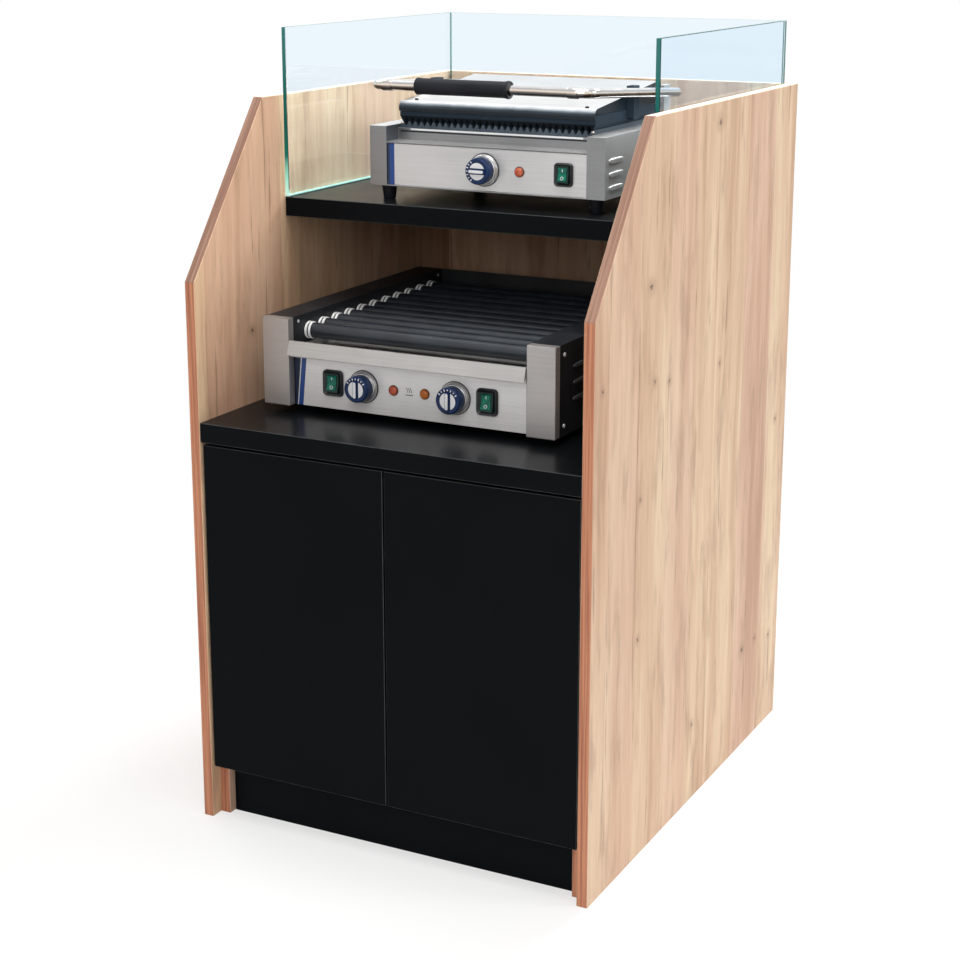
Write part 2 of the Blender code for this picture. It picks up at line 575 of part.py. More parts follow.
    # Drive in the right housing: gear motor below the tray, its sprocket, and the chain round all sprockets
    shaft = [(0, wall), (DRIVE_RADIUS, wall), (DRIVE_RADIUS, sprocket), (SPROCKET_RADIUS, sprocket),
             (SPROCKET_RADIUS, sprocket_end), (0, sprocket_end)]
    piece("drive_sprocket", turned(shaft, "X", ROLLER_SIDES), "zinc", (0, *drive), grill, smooth=True)
    length, depth, height = GEARBOX
    face_x = wall - CONTACT
    gearbox = box((face_x - length, -depth / 2, under + GRILL_SHEET + CONTACT - drive[1]),
                  (face_x, depth / 2, under + GRILL_SHEET + CONTACT + height - drive[1]))
    can = peg("X", MOTOR_RADIUS, face_x - length - MOTOR_LENGTH, face_x - length / 2, sides=20)
    piece("gear_motor", gearbox, "zinc", (0, *drive), grill, joined=[can])
    corners = [drive, axes[-1], axes[0]]
    band = (sprocket + CHAIN_MARGIN, sprocket_end - CHAIN_MARGIN)
    gap = SPROCKET_RADIUS + CHAIN_SLACK
    outer = prism(loop_outline(corners, gap + CHAIN_HEIGHT), "X", *band)
    inner = prism(loop_outline(corners, gap), "X", band[0] - OVERCUT, band[1] + OVERCUT)
    piece("drive_chain", outer, "zinc", parent=grill, cuts=[inner])


def ribbed_outline(half, flat, root, tip):
    """A plate's cross-section whose one face carries ribs with sloping flanks, from root to tip height."""
    pitch = 2 * half / RIB_COUNT
    points = [(half, flat), (-half, flat)]
    for index in range(RIB_COUNT):
        start = -half + index * pitch
        points += [(start, root), (start + RIB_SHOULDER / 2, root),
                   (start + pitch / 2 - RIB_SHOULDER / 2, tip), (start + pitch / 2 + RIB_SHOULDER / 2, tip),
                   (start + pitch - RIB_SHOULDER / 2, root)]
    return points + [(half, root)]


def rounded(corner, before, after, radius, steps=5):
    """Points of an arc that replaces the corner between two directions at a right angle to each other."""
    start = corner - before * radius
    middle = start + after * radius
    return [middle - after * radius * math.cos(angle) + before * radius * math.sin(angle)
            for angle in (math.pi / 2 * step / steps for step in range(steps + 1))]


def build_contact_grill():
    """Contact grill on the upper shelf; its group's origin is at its front, on the shelf."""
    width = PLATE_WIDTH + 2 * (PLATE_SIDE_GAP + PRESS_COLUMN)
    plate_front = PRESS_TROUGH + PLATE_FRONT_GAP
    plate_back = plate_front + PLATE_DEPTH
    depth = plate_back + PRESS_REAR_ROOM
    press = group("contact_grill", (PRESS_OFFSET, FRONT + SHELF_SETBACK + PRESS_SETBACK, SHELF_TOP))
    half = width / 2
    column = half - PRESS_COLUMN
    sheet = PRESS_SHEET
    under = PRESS_FOOT_HEIGHT
    box_top = under + PRESS_CONTROL
    deck = box_top + PRESS_BAND
    top = deck + PRESS_COLUMN_RISE
    pivot = (depth - PIVOT_REAR_ROOM, deck + PIVOT_RISE)

    # Body: two side boxes, a deck between them, a lower control box in front and two lugs for the handle
    notch = [(-OVERCUT, box_top), (PRESS_TROUGH, box_top), (PRESS_TROUGH, deck), (depth + OVERCUT, deck),
             (depth + OVERCUT, top + OVERCUT), (-OVERCUT, top + OVERCUT)]
    cavity = [(sheet, under + sheet), (sheet, box_top - sheet), (PRESS_TROUGH + sheet, box_top - sheet),
              (PRESS_TROUGH + sheet, deck - sheet), (depth - sheet, deck - sheet),
              (depth - sheet, under + sheet)]
    opening = box((-column, -OVERCUT, under + sheet), (column, 2 * sheet, box_top - sheet))
    thickness, length, rise = LUG
    lugs = []
    for side, way in SIDES:
        near, far = sorted((way * (column - LUG_SIDE_GAP - thickness), way * (column - LUG_SIDE_GAP)))
        lugs.append(box((near, pivot[0] - length / 2, deck - sheet / 2),
                        (far, pivot[0] + length / 2, pivot[1] + rise)))
    bore = peg("X", PIVOT_RADIUS + PIVOT_CLEARANCE, -half, half, (0, *pivot))
    body = piece("contact_grill_body", box((-half, 0, under), (half, depth, top)), "stainless", parent=press,
                 cuts=[prism(notch, "X", -column, column),
                       prism(cavity, "X", -half + sheet, half - sheet), opening])
    shape_with(body, together(*lugs), "UNION")
    shape_with(body, gland((GLAND_AT, depth, under + GLAND_HEIGHT)), "UNION")
    shape_with(body, bore, "DIFFERENCE")
    for number, (x, y) in enumerate([(x, y) for y in (PRESS_FOOT_INSET, depth - PRESS_FOOT_INSET)
                                     for x in (-half + PRESS_FOOT_INSET, half - PRESS_FOOT_INSET)], 1):
        profile = [(0, CONTACT), (PRESS_FOOT_RADIUS - PRESS_FOOT_TAPER, CONTACT),
                   (PRESS_FOOT_RADIUS, under - CONTACT), (0, under - CONTACT)]
        piece(f"contact_grill_foot_{number}", turned(profile, "Z", 16), "rubber", (x, y, 0), press,
              smooth=True)

    # Control panel in the front opening, with one knob, one lamp and one rocker
    controls = under + PRESS_CONTROL_HEIGHT
    front = PRESS_PANEL_RECESS
    holes = control_holes([PRESS_KNOB_AT], [PRESS_LAMP_AT], [PRESS_ROCKER_AT], controls,
                          front - OVERCUT, front + sheet + OVERCUT)
    face = box((-column + CONTACT, front, under + sheet + CONTACT),
               (column - CONTACT, front + sheet, box_top - sheet - CONTACT))
    piece("contact_grill_panel", face, "stainless", parent=press, cuts=[holes])
    add_knob("contact_grill_knob", (PRESS_KNOB_AT, front, controls), press)
    add_lamp("contact_grill_lamp", (PRESS_LAMP_AT, front, controls), press)
    add_rocker("contact_grill_rocker", (PRESS_ROCKER_AT, front, controls), press)

    # Ribbed cast plates: the lower one on the deck, the upper one hung by two ears from the handle's arms
    plate_half = PLATE_WIDTH / 2
    lower_top = deck + CONTACT + LOWER_PLATE
    lower = ribbed_outline(plate_half, deck + CONTACT, lower_top - RIB_HEIGHT, lower_top)
    piece("lower_plate", prism(lower, "Y", plate_front, plate_back), "cast_iron", parent=press)
    handle_x = half - HANDLE_INSET
    bar = Vector((0, -HANDLE_REACH, pivot[1] + HANDLE_RISE))
    hang_y = plate_front + PLATE_PIVOT
    hang = (hang_y, pivot[1] + HANDLE_RISE * (pivot[0] - hang_y) / (pivot[0] - bar.y))
    tip = lower_top + CONTACT
    plate_top = tip + UPPER_PLATE
    upper = ribbed_outline(plate_half, plate_top - hang[1], tip + RIB_HEIGHT - hang[1], tip - hang[1])
    reach, length, rise = EAR
    ears = []
    for side, way in SIDES:
        near, far = sorted((way * (plate_half - EAR_ROOT), way * (plate_half + reach)))
        ears.append(box((near, -length / 2, tip + RIB_HEIGHT - hang[1]), (far, length / 2, rise)))
    hole = peg("X", PIVOT_RADIUS + PIVOT_CLEARANCE, -half, half)
    piece("upper_plate", prism(upper, "Y", plate_front - hang[0], plate_back - hang[0]), "cast_iron",
          (0, *hang), press, joined=[together(*ears)], cuts=[hole])

    # Lid: a sheet wedge over the upper plate, open below
    lid_half = plate_half - LID_INSET
    low = plate_top + CONTACT
    fold_depth, fold_height = LID_FOLD
    start = plate_front + LID_INSET
    outside = [(start, low), (start, low + LID_FRONT), (start + fold_depth, low + LID_FRONT + fold_height),
               (plate_back, low + LID_BACK), (plate_back, low)]
    inside = [(start + sheet, low - OVERCUT), (start + sheet, low + LID_FRONT - sheet / 2),
              (start + fold_depth + sheet / 2, low + LID_FRONT + fold_height - sheet),
              (plate_back - sheet, low + LID_BACK - 1.2 * sheet), (plate_back - sheet, low - OVERCUT)]
    local = [[(y - hang[0], z - hang[1]) for y, z in line] for line in (outside, inside)]
    piece("lid_cover", prism(local[0], "X", -lid_half, lid_half), "stainless", (0, *hang), press,
          cuts=[prism(local[1], "X", -lid_half + sheet, lid_half - sheet)])

    # Handle: one bent bar with pins at its rear ends and at the plate's ears, and a grip on its front
    rear_end = Vector((0, pivot[0], pivot[1]))
    ahead = (Vector((0, bar.y, bar.z)) - rear_end).normalized()
    aside = Vector((1, 0, 0))
    path = [rear_end - aside * handle_x]
    path += rounded(bar - aside * handle_x, ahead, aside, HANDLE_BEND)
    path += rounded(bar + aside * handle_x, aside, -ahead, HANDLE_BEND)
    path.append(rear_end + aside * handle_x)
    path = [point - rear_end for point in path]
    pins = []
    lug_inside = column - LUG_SIDE_GAP - thickness
    for side, way in SIDES:
        rear_pin = sorted((way * handle_x, way * (lug_inside - CONTACT)))
        hang_pin = sorted((way * handle_x, way * (plate_half + CONTACT)))
        pins.append(peg("X", PIVOT_RADIUS, *rear_pin))
        pins.append(peg("X", PIVOT_RADIUS, *hang_pin, (0, hang[0] - pivot[0], hang[1] - pivot[1])))
    piece("handle_bar", rod(path, HANDLE_RADIUS), "chrome", (0, *pivot), press, smooth=True,
          joined=[together(*pins)])
    sleeve = [(HANDLE_RADIUS + CONTACT, -GRIP_LENGTH / 2), (GRIP_RADIUS, -GRIP_LENGTH / 2),
              (GRIP_RADIUS, GRIP_LENGTH / 2), (HANDLE_RADIUS + CONTACT, GRIP_LENGTH / 2)]
    piece("handle_grip", turned(sleeve, "X", 20, (GRIP_OFFSET, 0, 0), hollow=True), "rubber", bar, press,
          smooth=True)


build_cabinet()
build_glass()
build_doors()
build_roller_grill()
build_contact_grill()
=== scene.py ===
import json
import math

import bmesh
import bpy
import numpy as np
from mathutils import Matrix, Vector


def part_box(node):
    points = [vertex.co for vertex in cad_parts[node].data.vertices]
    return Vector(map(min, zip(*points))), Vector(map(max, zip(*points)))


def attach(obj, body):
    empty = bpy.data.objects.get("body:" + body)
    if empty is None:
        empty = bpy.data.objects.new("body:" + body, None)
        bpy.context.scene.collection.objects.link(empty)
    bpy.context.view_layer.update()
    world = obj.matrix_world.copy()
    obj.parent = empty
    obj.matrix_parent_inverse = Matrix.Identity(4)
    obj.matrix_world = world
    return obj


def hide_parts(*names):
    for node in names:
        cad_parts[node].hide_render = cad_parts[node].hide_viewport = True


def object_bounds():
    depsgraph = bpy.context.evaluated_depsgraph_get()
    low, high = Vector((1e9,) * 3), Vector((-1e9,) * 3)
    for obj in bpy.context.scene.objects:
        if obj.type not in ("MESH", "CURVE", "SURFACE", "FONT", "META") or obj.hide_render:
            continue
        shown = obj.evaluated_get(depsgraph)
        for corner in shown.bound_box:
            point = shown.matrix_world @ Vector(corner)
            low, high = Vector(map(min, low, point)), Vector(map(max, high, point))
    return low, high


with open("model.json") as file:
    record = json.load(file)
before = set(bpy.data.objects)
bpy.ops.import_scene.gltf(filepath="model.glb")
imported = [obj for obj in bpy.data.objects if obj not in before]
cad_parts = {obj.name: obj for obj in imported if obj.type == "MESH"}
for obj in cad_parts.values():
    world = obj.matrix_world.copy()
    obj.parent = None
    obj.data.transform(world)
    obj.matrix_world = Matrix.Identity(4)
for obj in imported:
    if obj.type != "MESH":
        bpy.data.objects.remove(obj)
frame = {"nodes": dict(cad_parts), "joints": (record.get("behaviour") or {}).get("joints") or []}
CAD_BOX = [list(corner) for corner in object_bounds()]
NODES = frame["nodes"]
MM = 0.001
MERGE = 1e-6               # metres; points closer than this are one point
WELD = 2e-5                # metres; the same for a CAD node before its edges are rounded
SHEET_ROUND = 0.8 * MM     # rounding of the folded sheets' edges
FACING = 0.6               # a surface whose direction has this much of an axis faces along it
SMOOTH_ANGLE = 35          # degrees; sharper edges stay sharp
SIDES = (("left", -1), ("right", 1))
X, Y, Z = np.eye(3)
AHEAD = -Y                 # towards the person at the counter


# Surfaces as grids of points, each row a ring


def mm(points):
    """Points written in millimetres, as an array in metres."""
    return np.asarray(points, float) * MM


def turned(profile, middle, along, sides=64, across=None):
    """A profile turned round an axis: the point at row i, angle a is the middle, plus the profile's distance
    times the axis, plus the profile's radius times the turning direction at a."""
    profile = np.asarray(profile, float)
    across = np.roll(along, 1) if across is None else across
    angle = np.linspace(0, math.tau, sides, endpoint=False)
    ring = np.outer(np.cos(angle), across) + np.outer(np.sin(angle), np.cross(along, across))
    return np.asarray(middle) + profile[:, None, 1:] * np.asarray(along) + profile[:, None, :1] * ring


def corner_ring(half, corner, steps=6):
    """A rectangle with round corners as centres and directions: each quarter turn's centre sits a corner
    radius in from that corner, and its directions run through the quarter."""
    quarter = np.linspace(0, math.pi / 2, steps + 1)
    angle = (quarter + np.arange(4)[:, None] * math.pi / 2).ravel()
    middle = (np.arange(4) + 0.5) * math.pi / 2
    sign = np.sign(np.stack([np.cos(middle), np.sin(middle)], 1)).repeat(steps + 1, 0)
    return sign * (np.asarray(half) - corner), np.stack([np.cos(angle), np.sin(angle)], 1)


def moulding(section, middle, half, corner, axes, steps=6):
    """A section carried round a rectangle with round corners: the point is the middle, plus the corner centre
    and (corner radius + section offset) times the corner direction in the rectangle's plane, plus the
    section's height along the plane's normal. A section that begins and ends half a width in is closed."""
    section = np.asarray(section, float)
    centre, direction = corner_ring(half, corner, steps)
    reach = np.maximum(corner + section[:, :1, None], 0)
    inset = np.minimum(corner + section[:, :1, None], 0)
    flat = centre + np.sign(centre) * inset + reach * direction
    flat = np.where(np.sign(flat) * np.sign(centre) < 0, 0, flat)
    across, up, normal = axes
    return np.asarray(middle) + flat[..., :1] * across + flat[..., 1:] * up + section[:, None, 1:] * normal


def pillow(middle, half, square, rows=24, columns=48):
    """A box with soft edges: a sphere's direction cosines, each raised to a power below one and scaled to the
    half size along its axis; a lower power gives flatter faces."""
    rise = np.linspace(-math.pi / 2, math.pi / 2, rows)[:, None]
    turn = np.linspace(0, math.tau, columns, endpoint=False)[None, :]

    def soft(value):
        return np.sign(value) * np.abs(value) ** square

    points = np.stack([soft(np.cos(rise)) * soft(np.cos(turn)), soft(np.cos(rise)) * soft(np.sin(turn)),
                       soft(np.sin(rise)) * np.ones_like(turn)], -1)
    return np.asarray(middle) + points * np.asarray(half)


def slab(outline, low, high, middle=(0, 0, 0), axes=(Y, Z, X)):
    """A closed flat outline given thickness: each row is the outline at one height along the normal, and the
    first and last rows are drawn in to the outline's middle."""
    outline = np.asarray(outline, float)
    across, up, normal = axes
    flat = outline[:, :1] * across + outline[:, 1:] * up
    hub = np.broadcast_to(flat.mean(0), flat.shape)
    rows = np.stack([hub + low * normal, flat + low * normal, flat + high * normal, hub + high * normal])
    return np.asarray(middle) + rows


def arc(middle, radius, start, end, steps=8):
    """Points on a circle from one angle to another, in degrees, as (first, second) coordinates."""
    angle = np.radians(np.linspace(start, end, steps + 1))
    return np.asarray(middle) + radius * np.stack([np.cos(angle), np.sin(angle)], 1)


def tube(path, radius, normal, sides=24):
    """A round bar along a flat path: at each path point a circle spanned by the path plane's normal and by
    the normal crossed with the path's direction. The first and last circles shrink to close it."""
    path = np.asarray(path, float)
    ahead = np.gradient(path, axis=0)
    ahead /= np.linalg.norm(ahead, axis=1, keepdims=True)
    aside = np.cross(normal, ahead)
    angle = np.linspace(0, math.tau, sides, endpoint=False)
    ring = np.cos(angle)[None, :, None] * np.asarray(normal) + np.sin(angle)[None, :, None] * aside[:, None]
    ends = np.broadcast_to(path[[0, -1], None], (2, sides, 3))
    return np.concatenate([ends[:1], path[:, None] + radius * ring, ends[1:]])


def screw_head(middle, along, radius, height, sides=24):
    """A domed screw head with a cross recess: height times (1 - (r/R)^2)^(1/2) over a polar grid, lowered
    by the recess depth where |x| or |y| is within the slot and r is inside the recess; a rim closes it."""
    half_slot, recess = 0.17, 0.62
    rim, dome, depth, foot = 0.35, 0.65, 0.45, -0.2
    share = np.concatenate([[0], np.linspace(0.12, 1, 12), [1]])[:, None]
    angle = np.linspace(0, math.tau, sides, endpoint=False)[None, :]
    flat = np.stack([share * np.cos(angle), share * np.sin(angle)], -1)
    slot = (np.abs(flat).min(-1) < half_slot) & (share < recess)
    rise = rim + dome * np.sqrt(np.maximum(1 - share ** 2, 0)) - depth * slot
    rise[-1] = foot
    rise = np.concatenate([rise, rise[-1:]])
    flat = np.concatenate([flat, flat[-1:] * 0])
    out = np.roll(along, 1)
    points = radius * (flat[..., :1] * out + flat[..., 1:] * np.cross(along, out))
    return np.asarray(middle) + points + height * rise[..., None] * np.asarray(along)


def grid_faces(rows, columns, first):
    """Quads between neighbouring rows of a grid whose points are numbered row by row from a first number."""
    row = np.arange(rows - 1)[:, None] * columns
    column = np.arange(columns)[None, :]
    beside = (column + 1) % columns
    corners = (row + column, row + columns + column, row + columns + beside, row + beside)
    return first + np.stack(corners, -1).reshape(-1, 4)


def put_in_scene(name, data):
    """A new object in the scene."""
    thing = bpy.data.objects.new(name, data)
    bpy.context.scene.collection.objects.link(thing)
    return thing


def make_piece(name, grids, finish, body, replaced=(), sharp=SMOOTH_ANGLE):
    """One piece from grids of points: seams and poles merged, faces turned outwards, riding on its body."""
    starts = np.cumsum([0] + [points.shape[0] * points.shape[1] for points in grids])
    faces = [grid_faces(*points.shape[:2], start) for points, start in zip(grids, starts)]
    vertices = np.concatenate([points.reshape(-1, 3) for points in grids])
    mesh = bpy.data.meshes.new(name)
    mesh.from_pydata(vertices.tolist(), [], np.concatenate(faces).tolist())
    bm = bmesh.new()
    bm.from_mesh(mesh)
    bmesh.ops.remove_doubles(bm, verts=bm.verts, dist=MERGE)
    bmesh.ops.dissolve_degenerate(bm, edges=bm.edges, dist=MERGE)
    bmesh.ops.recalc_face_normals(bm, faces=bm.faces)
    bm.to_mesh(mesh)
    bm.free()
    mesh.shade_smooth()
    mesh.set_sharp_from_angle(angle=math.radians(sharp))
    mesh.materials.append(FINISHES[finish])
    piece = put_in_scene(name, mesh)
    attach(piece, body)
    if replaced:
        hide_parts(*replaced)


def box_of(node):
    """Lowest corner, highest corner and middle of a CAD node, as arrays."""
    low, high = (np.array(corner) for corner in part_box(node))
    return low, high, (low + high) / 2


def pivot_of(key, name):
    """The place of the joint that has a name under a key."""
    return np.array(next(joint for joint in frame["joints"] if joint[key] == name)["pos_m"])


def on_panel(name, middle):
    """A control's middle, brought to the front of the panel that carries it."""
    panel = "contact_grill_panel" if "contact" in name else "roller_grill_panel"
    return np.array([middle[0], box_of(panel)[0][1], middle[2]])


# Finishes


class Nodes:
    """The nodes of one tree. A socket given to a node is linked, and any other value is set."""

    def __init__(self, tree):
        self.tree = tree

    def put(self, socket, value):
        """Gives a socket its source, its number or its colour."""
        if isinstance(value, bpy.types.NodeSocket):
            self.tree.links.new(value, socket)
        elif socket.type == "RGBA":
            socket.default_value = (*value, 1.0)
        else:
            socket.default_value = value

    def add(self, kind, settings=(), **inputs):
        """One node; an input called i and a number is found by its number."""
        made = self.tree.nodes.new("ShaderNode" + kind)
        for key, value in dict(settings).items():
            setattr(made, key, value)
        for key, value in inputs.items():
            self.put(made.inputs[int(key[1:]) if key[1:].isdigit() else key], value)
        return made

    def calc(self, operation, first, second=0.0, third=0.0):
        """A Math node's result."""
        return self.add("Math", {"operation": operation}, i0=first, i1=second, i2=third).outputs[0]

    def times(self, first, second, more=None):
        """A product, and a third number on top of it where one is given."""
        if more is None:
            return self.calc("MULTIPLY", first, second)
        return self.calc("MULTIPLY_ADD", first, second, more)

    def plus(self, first, second):
        return self.calc("ADD", first, second)

    def minus(self, first, second):
        return self.calc("SUBTRACT", first, second)

    def most(self, *values):
        """The largest of several numbers."""
        result = values[0]
        for value in values[1:]:
            result = self.calc("MAXIMUM", result, value)
        return result

    def above(self, value, limit):
        """1 where a number is above a limit, otherwise 0."""
        return self.calc("GREATER_THAN", value, limit)

    def below(self, value, limit):
        """1 where a number is below a limit, otherwise 0."""
        return self.calc("LESS_THAN", value, limit)

    def spread(self, value, low, high, to_low=0.0, to_high=1.0):
        """A range mapped smoothly to another range."""
        smooth = {"interpolation_type": "SMOOTHSTEP"}
        return self.add("MapRange", smooth, i0=value, i1=low, i2=high, i3=to_low, i4=to_high).outputs[0]

    def blend(self, share, first, second, way="MIX"):
        """Two colours mixed by a share."""
        colours = {"data_type": "RGBA", "blend_type": way}
        return self.add("Mix", colours, i0=share, i6=first, i7=second).outputs[2]

    def shades(self, value, stops):
        """A colour picked along a row of (place, colour) stops."""
        ramp = self.add("ValToRGB", Fac=value)
        row = ramp.color_ramp.elements
        row.remove(row[1])
        row[0].position = stops[0][0]
        row[0].color = (*stops[0][1], 1.0)
        for place, colour in stops[1:]:
            row.new(place).color = (*colour, 1.0)
        return ramp.outputs[0]

    def place(self):
        """The Object coordinate."""
        return self.add("TexCoord").outputs["Object"]

    def spot(self):
        """The Object coordinate's three numbers."""
        return self.add("SeparateXYZ", Vector=self.place()).outputs

    def normal(self):
        """The three numbers of the surface's direction."""
        return self.add("SeparateXYZ", Vector=self.add("TexCoord").outputs["Normal"]).outputs

    def facing(self, axis):
        """1 where the surface faces along an axis, either way, and 0 on the edges round it."""
        return self.above(self.calc("ABSOLUTE", self.normal()["XYZ".index(axis)]), FACING)

    def stretched(self, x, y, z):
        """A coordinate put together from three numbers."""
        return self.add("CombineXYZ", X=x, Y=y, Z=z).outputs[0]

    def noise(self, vector, scale=1.0, detail=3.0, rough=0.5):
        """Soft random variation between 0 and 1."""
        return self.add("TexNoise", Vector=vector, Scale=scale, Detail=detail, Roughness=rough).outputs["Fac"]

    def show(self, share, first, second, output="Material Output"):
        """Two shaders mixed by a share as the tree's result."""
        both = self.add("MixShader", i0=share, i1=first.outputs[0], i2=second.outputs[0])
        self.tree.links.new(both.outputs[0], self.tree.nodes[output].inputs["Surface"])


class Finish(Nodes):
    """A material with a Principled shader."""

    def __init__(self, name):
        self.material = bpy.data.materials.new(name)
        self.material.use_nodes = True
        super().__init__(self.material.node_tree)
        self.shader = self.tree.nodes["Principled BSDF"]

    def set(self, **values):
        """Sets or links the shader's sockets; a name has _ for a space."""
        for name, value in values.items():
            self.put(self.shader.inputs[name.replace("_", " ")], value)

    def relief(self, height, strength, distance):
        """Fine relief from a height."""
        self.set(Normal=self.add("Bump", Height=height, Strength=strength, Distance=distance).outputs[0])


def oak_finish(name, face_axis, tone=(1.0, 1.0, 1.0)):
    """Light oak decor: upright staves that differ in tone, soft bands, brown smudges and dashes, fine fibre,
    tapering dark cracks in a brown haze, knots, a warmer tape along the edges with painted shade where
    they slope and a painted highlight along the top, and a tone over the whole board that stands in for
    the light on it, as painted light."""
    coat = Finish(name)
    x, y, z = coat.spot()
    flat = coat.plus(x, y)
    staves_per_metre, unequal = 8.6, 0.75
    stave_place = coat.times(flat, staves_per_metre, 8.2)
    stave = coat.add("TexVoronoi", {"voronoi_dimensions": "1D"}, W=stave_place, Scale=1.0, Randomness=unequal)
    stave_tone, stave_lot, _ = coat.add("SeparateColor", Color=stave.outputs["Color"]).outputs
    stave_shift = coat.times(stave_lot, 19.0)
    drift = coat.stretched(coat.times(flat, 2.2), coat.times(z, 1.4), 0.0)
    waver = coat.stretched(coat.times(flat, 9.0), coat.times(z, 7.0), 4.0)
    across = coat.times(coat.noise(drift, 1.0, 2.0), 0.05, flat)
    across = coat.times(coat.noise(waver, 1.0, 2.0), 0.007, across)

    def grain(wide, tall, detail, shift):
        return coat.noise(coat.stretched(coat.times(across, wide), coat.times(z, tall, shift),
                                         coat.plus(stave_shift, shift)), 1.0, detail, 0.6)

    def cracks(place, wide, tall, shift, low, high, thick, random=1.0):
        line = coat.add("TexVoronoi", {"voronoi_dimensions": "1D", "feature": "DISTANCE_TO_EDGE"}, W=place,
                        Scale=1.0, Randomness=random).outputs["Distance"]
        share = coat.spread(grain(0.6 * wide, tall, 3.0, shift), low, high)
        away = coat.calc("DIVIDE", line, coat.times(share, thick * wide, 0.00001))
        return coat.spread(away, 0.2, 1.0, 1.0, 0.0), coat.spread(away, 0.8, 5.5, 1.0, 0.0)

    brown = (0.415, 0.262, 0.172)
    bands = coat.plus(coat.times(grain(9.0, 0.8, 2.0, 1.0), 0.46),
                      coat.times(grain(30.0, 1.9, 4.0, 3.0), 0.54))
    colour = coat.shades(bands, [(0.37, (0.560, 0.360, 0.250)), (0.45, (0.670, 0.455, 0.322)),
                                 (0.53, (0.735, 0.525, 0.378)), (0.62, (0.800, 0.615, 0.445))])
    tint = coat.blend(coat.spread(stave_tone, 0.40, 0.90), (0.950, 0.970, 0.920), (0.905, 0.860, 0.875))
    colour = coat.blend(1.0, colour, tint, "MULTIPLY")
    smudge = coat.spread(grain(30.0, 5.4, 4.0, 5.0), 0.50, 0.72, 0.0, 0.66)
    colour = coat.blend(smudge, colour, brown)
    dashes = coat.spread(grain(120.0, 9.0, 3.0, 41.0), 0.58, 0.78, 0.0, 0.60)
    colour = coat.blend(dashes, colour, brown)
    fibre = grain(300.0, 6.0, 3.0, 7.0)
    colour = coat.blend(coat.spread(fibre, 0.40, 0.72, 0.0, 0.26), colour, (0.470, 0.310, 0.210))
    split, haze = zip(cracks(coat.times(across, 7.0, 11.0), 7.0, 2.4, 11.0, 0.50, 0.68, 0.0024),
                      cracks(coat.times(across, 17.0, 17.0), 17.0, 4.4, 17.0, 0.56, 0.72, 0.0021),
                      cracks(stave_place, staves_per_metre, 2.2, 23.0, 0.56, 0.74, 0.0016, unequal))
    dark = coat.most(*split)
    colour = coat.blend(coat.times(coat.most(*haze), 0.36), colour, brown)
    colour = coat.blend(coat.times(dark, 0.80), colour, (0.165, 0.100, 0.066))

    speck = coat.noise(coat.place(), 260.0, 2.0, 0.7)
    for wide, tall, shift, few, size in ((3.4, 4.2, 0.0, 0.70, 1.0), (5.6, 5.0, 31.0, 0.62, 0.85)):
        cell = coat.stretched(coat.times(flat, wide, shift), coat.times(z, tall), 0.0)
        knot = coat.add("TexVoronoi", {"voronoi_dimensions": "2D"}, Vector=cell, Scale=1.0, Randomness=1.0)
        rare = coat.above(coat.add("SeparateColor", Color=knot.outputs["Color"]).outputs[1], few)
        away = coat.calc("DIVIDE", knot.outputs["Distance"], size)
        ragged = coat.times(speck, 0.075, away)
        halo = coat.times(coat.spread(away, 0.010, 0.105, 0.55, 0.0), rare)
        heart = coat.times(coat.spread(ragged, 0.044, 0.060, 0.90, 0.0), rare)
        colour = coat.blend(halo, colour, brown)
        colour = coat.blend(heart, colour, (0.085, 0.050, 0.035))
    # Painted light: a tone over the whole board that stands in for the light falling and bouncing on it
    colour = coat.blend(1.0, colour, tone, "MULTIPLY")

    run = coat.plus(y, z)
    tape_grain = coat.stretched(coat.times(x, 300.0), coat.times(run, 4.0), coat.times(run, 0.8))
    streak = coat.spread(coat.noise(tape_grain, 1.0, 4.0), 0.35, 0.70)
    upright = coat.blend(streak, (0.575, 0.252, 0.138), (0.345, 0.122, 0.072))
    # Painted shade: the tape on the sloping edges is a darker copy of the upright tape
    slanted_painted_shade = coat.blend(streak, (0.365, 0.215, 0.152), (0.230, 0.118, 0.082))
    upward = coat.normal()[2]
    tape = coat.blend(coat.above(upward, 0.3), upright, slanted_painted_shade)
    # Painted highlight: the tape along the top is pale, as strong light from above shows it
    tape = coat.blend(coat.above(upward, 0.9), tape, (0.800, 0.660, 0.530))
    coat.set(Base_Color=coat.blend(coat.facing(face_axis), tape, colour),
             Roughness=coat.spread(bands, 0.35, 0.65, 0.58, 0.46), Specular_IOR_Level=0.28)
    coat.relief(coat.minus(coat.times(fibre, 0.4), dark), 0.20, 0.0006)
    return coat.material


def black_board_finish():
    """Matt black board with a fine pore, paler rounded edges that are partly a worn edge band and partly a
    painted highlight, and a little more gloss where it faces up.
    """
    coat = Finish("black board")
    place = coat.place()
    cloud = coat.noise(place, 5.0, 4.0)
    normal = coat.normal()
    edge = coat.below(coat.most(*(coat.calc("ABSOLUTE", part) for part in normal)), 0.9)
    # Painted highlight, partly wear: the rounded edges are paler than the board
    edge_highlight = coat.blend(coat.noise(place, 60.0, 2.0), (0.030, 0.033, 0.034), (0.090, 0.096, 0.098))
    colour = coat.blend(cloud, (0.0024, 0.0031, 0.0040), (0.0046, 0.0057, 0.0068))
    coat.set(Base_Color=coat.blend(edge, colour, edge_highlight), Specular_IOR_Level=0.035, Coat_Roughness=0.22,
             Roughness=coat.spread(cloud, 0.2, 0.8, 0.34, 0.46),
             Coat_Weight=coat.times(coat.above(normal[2], 0.9), 0.40))
    coat.relief(coat.noise(place, 900.0, 2.0), 0.10, 0.0004)
    return coat.material


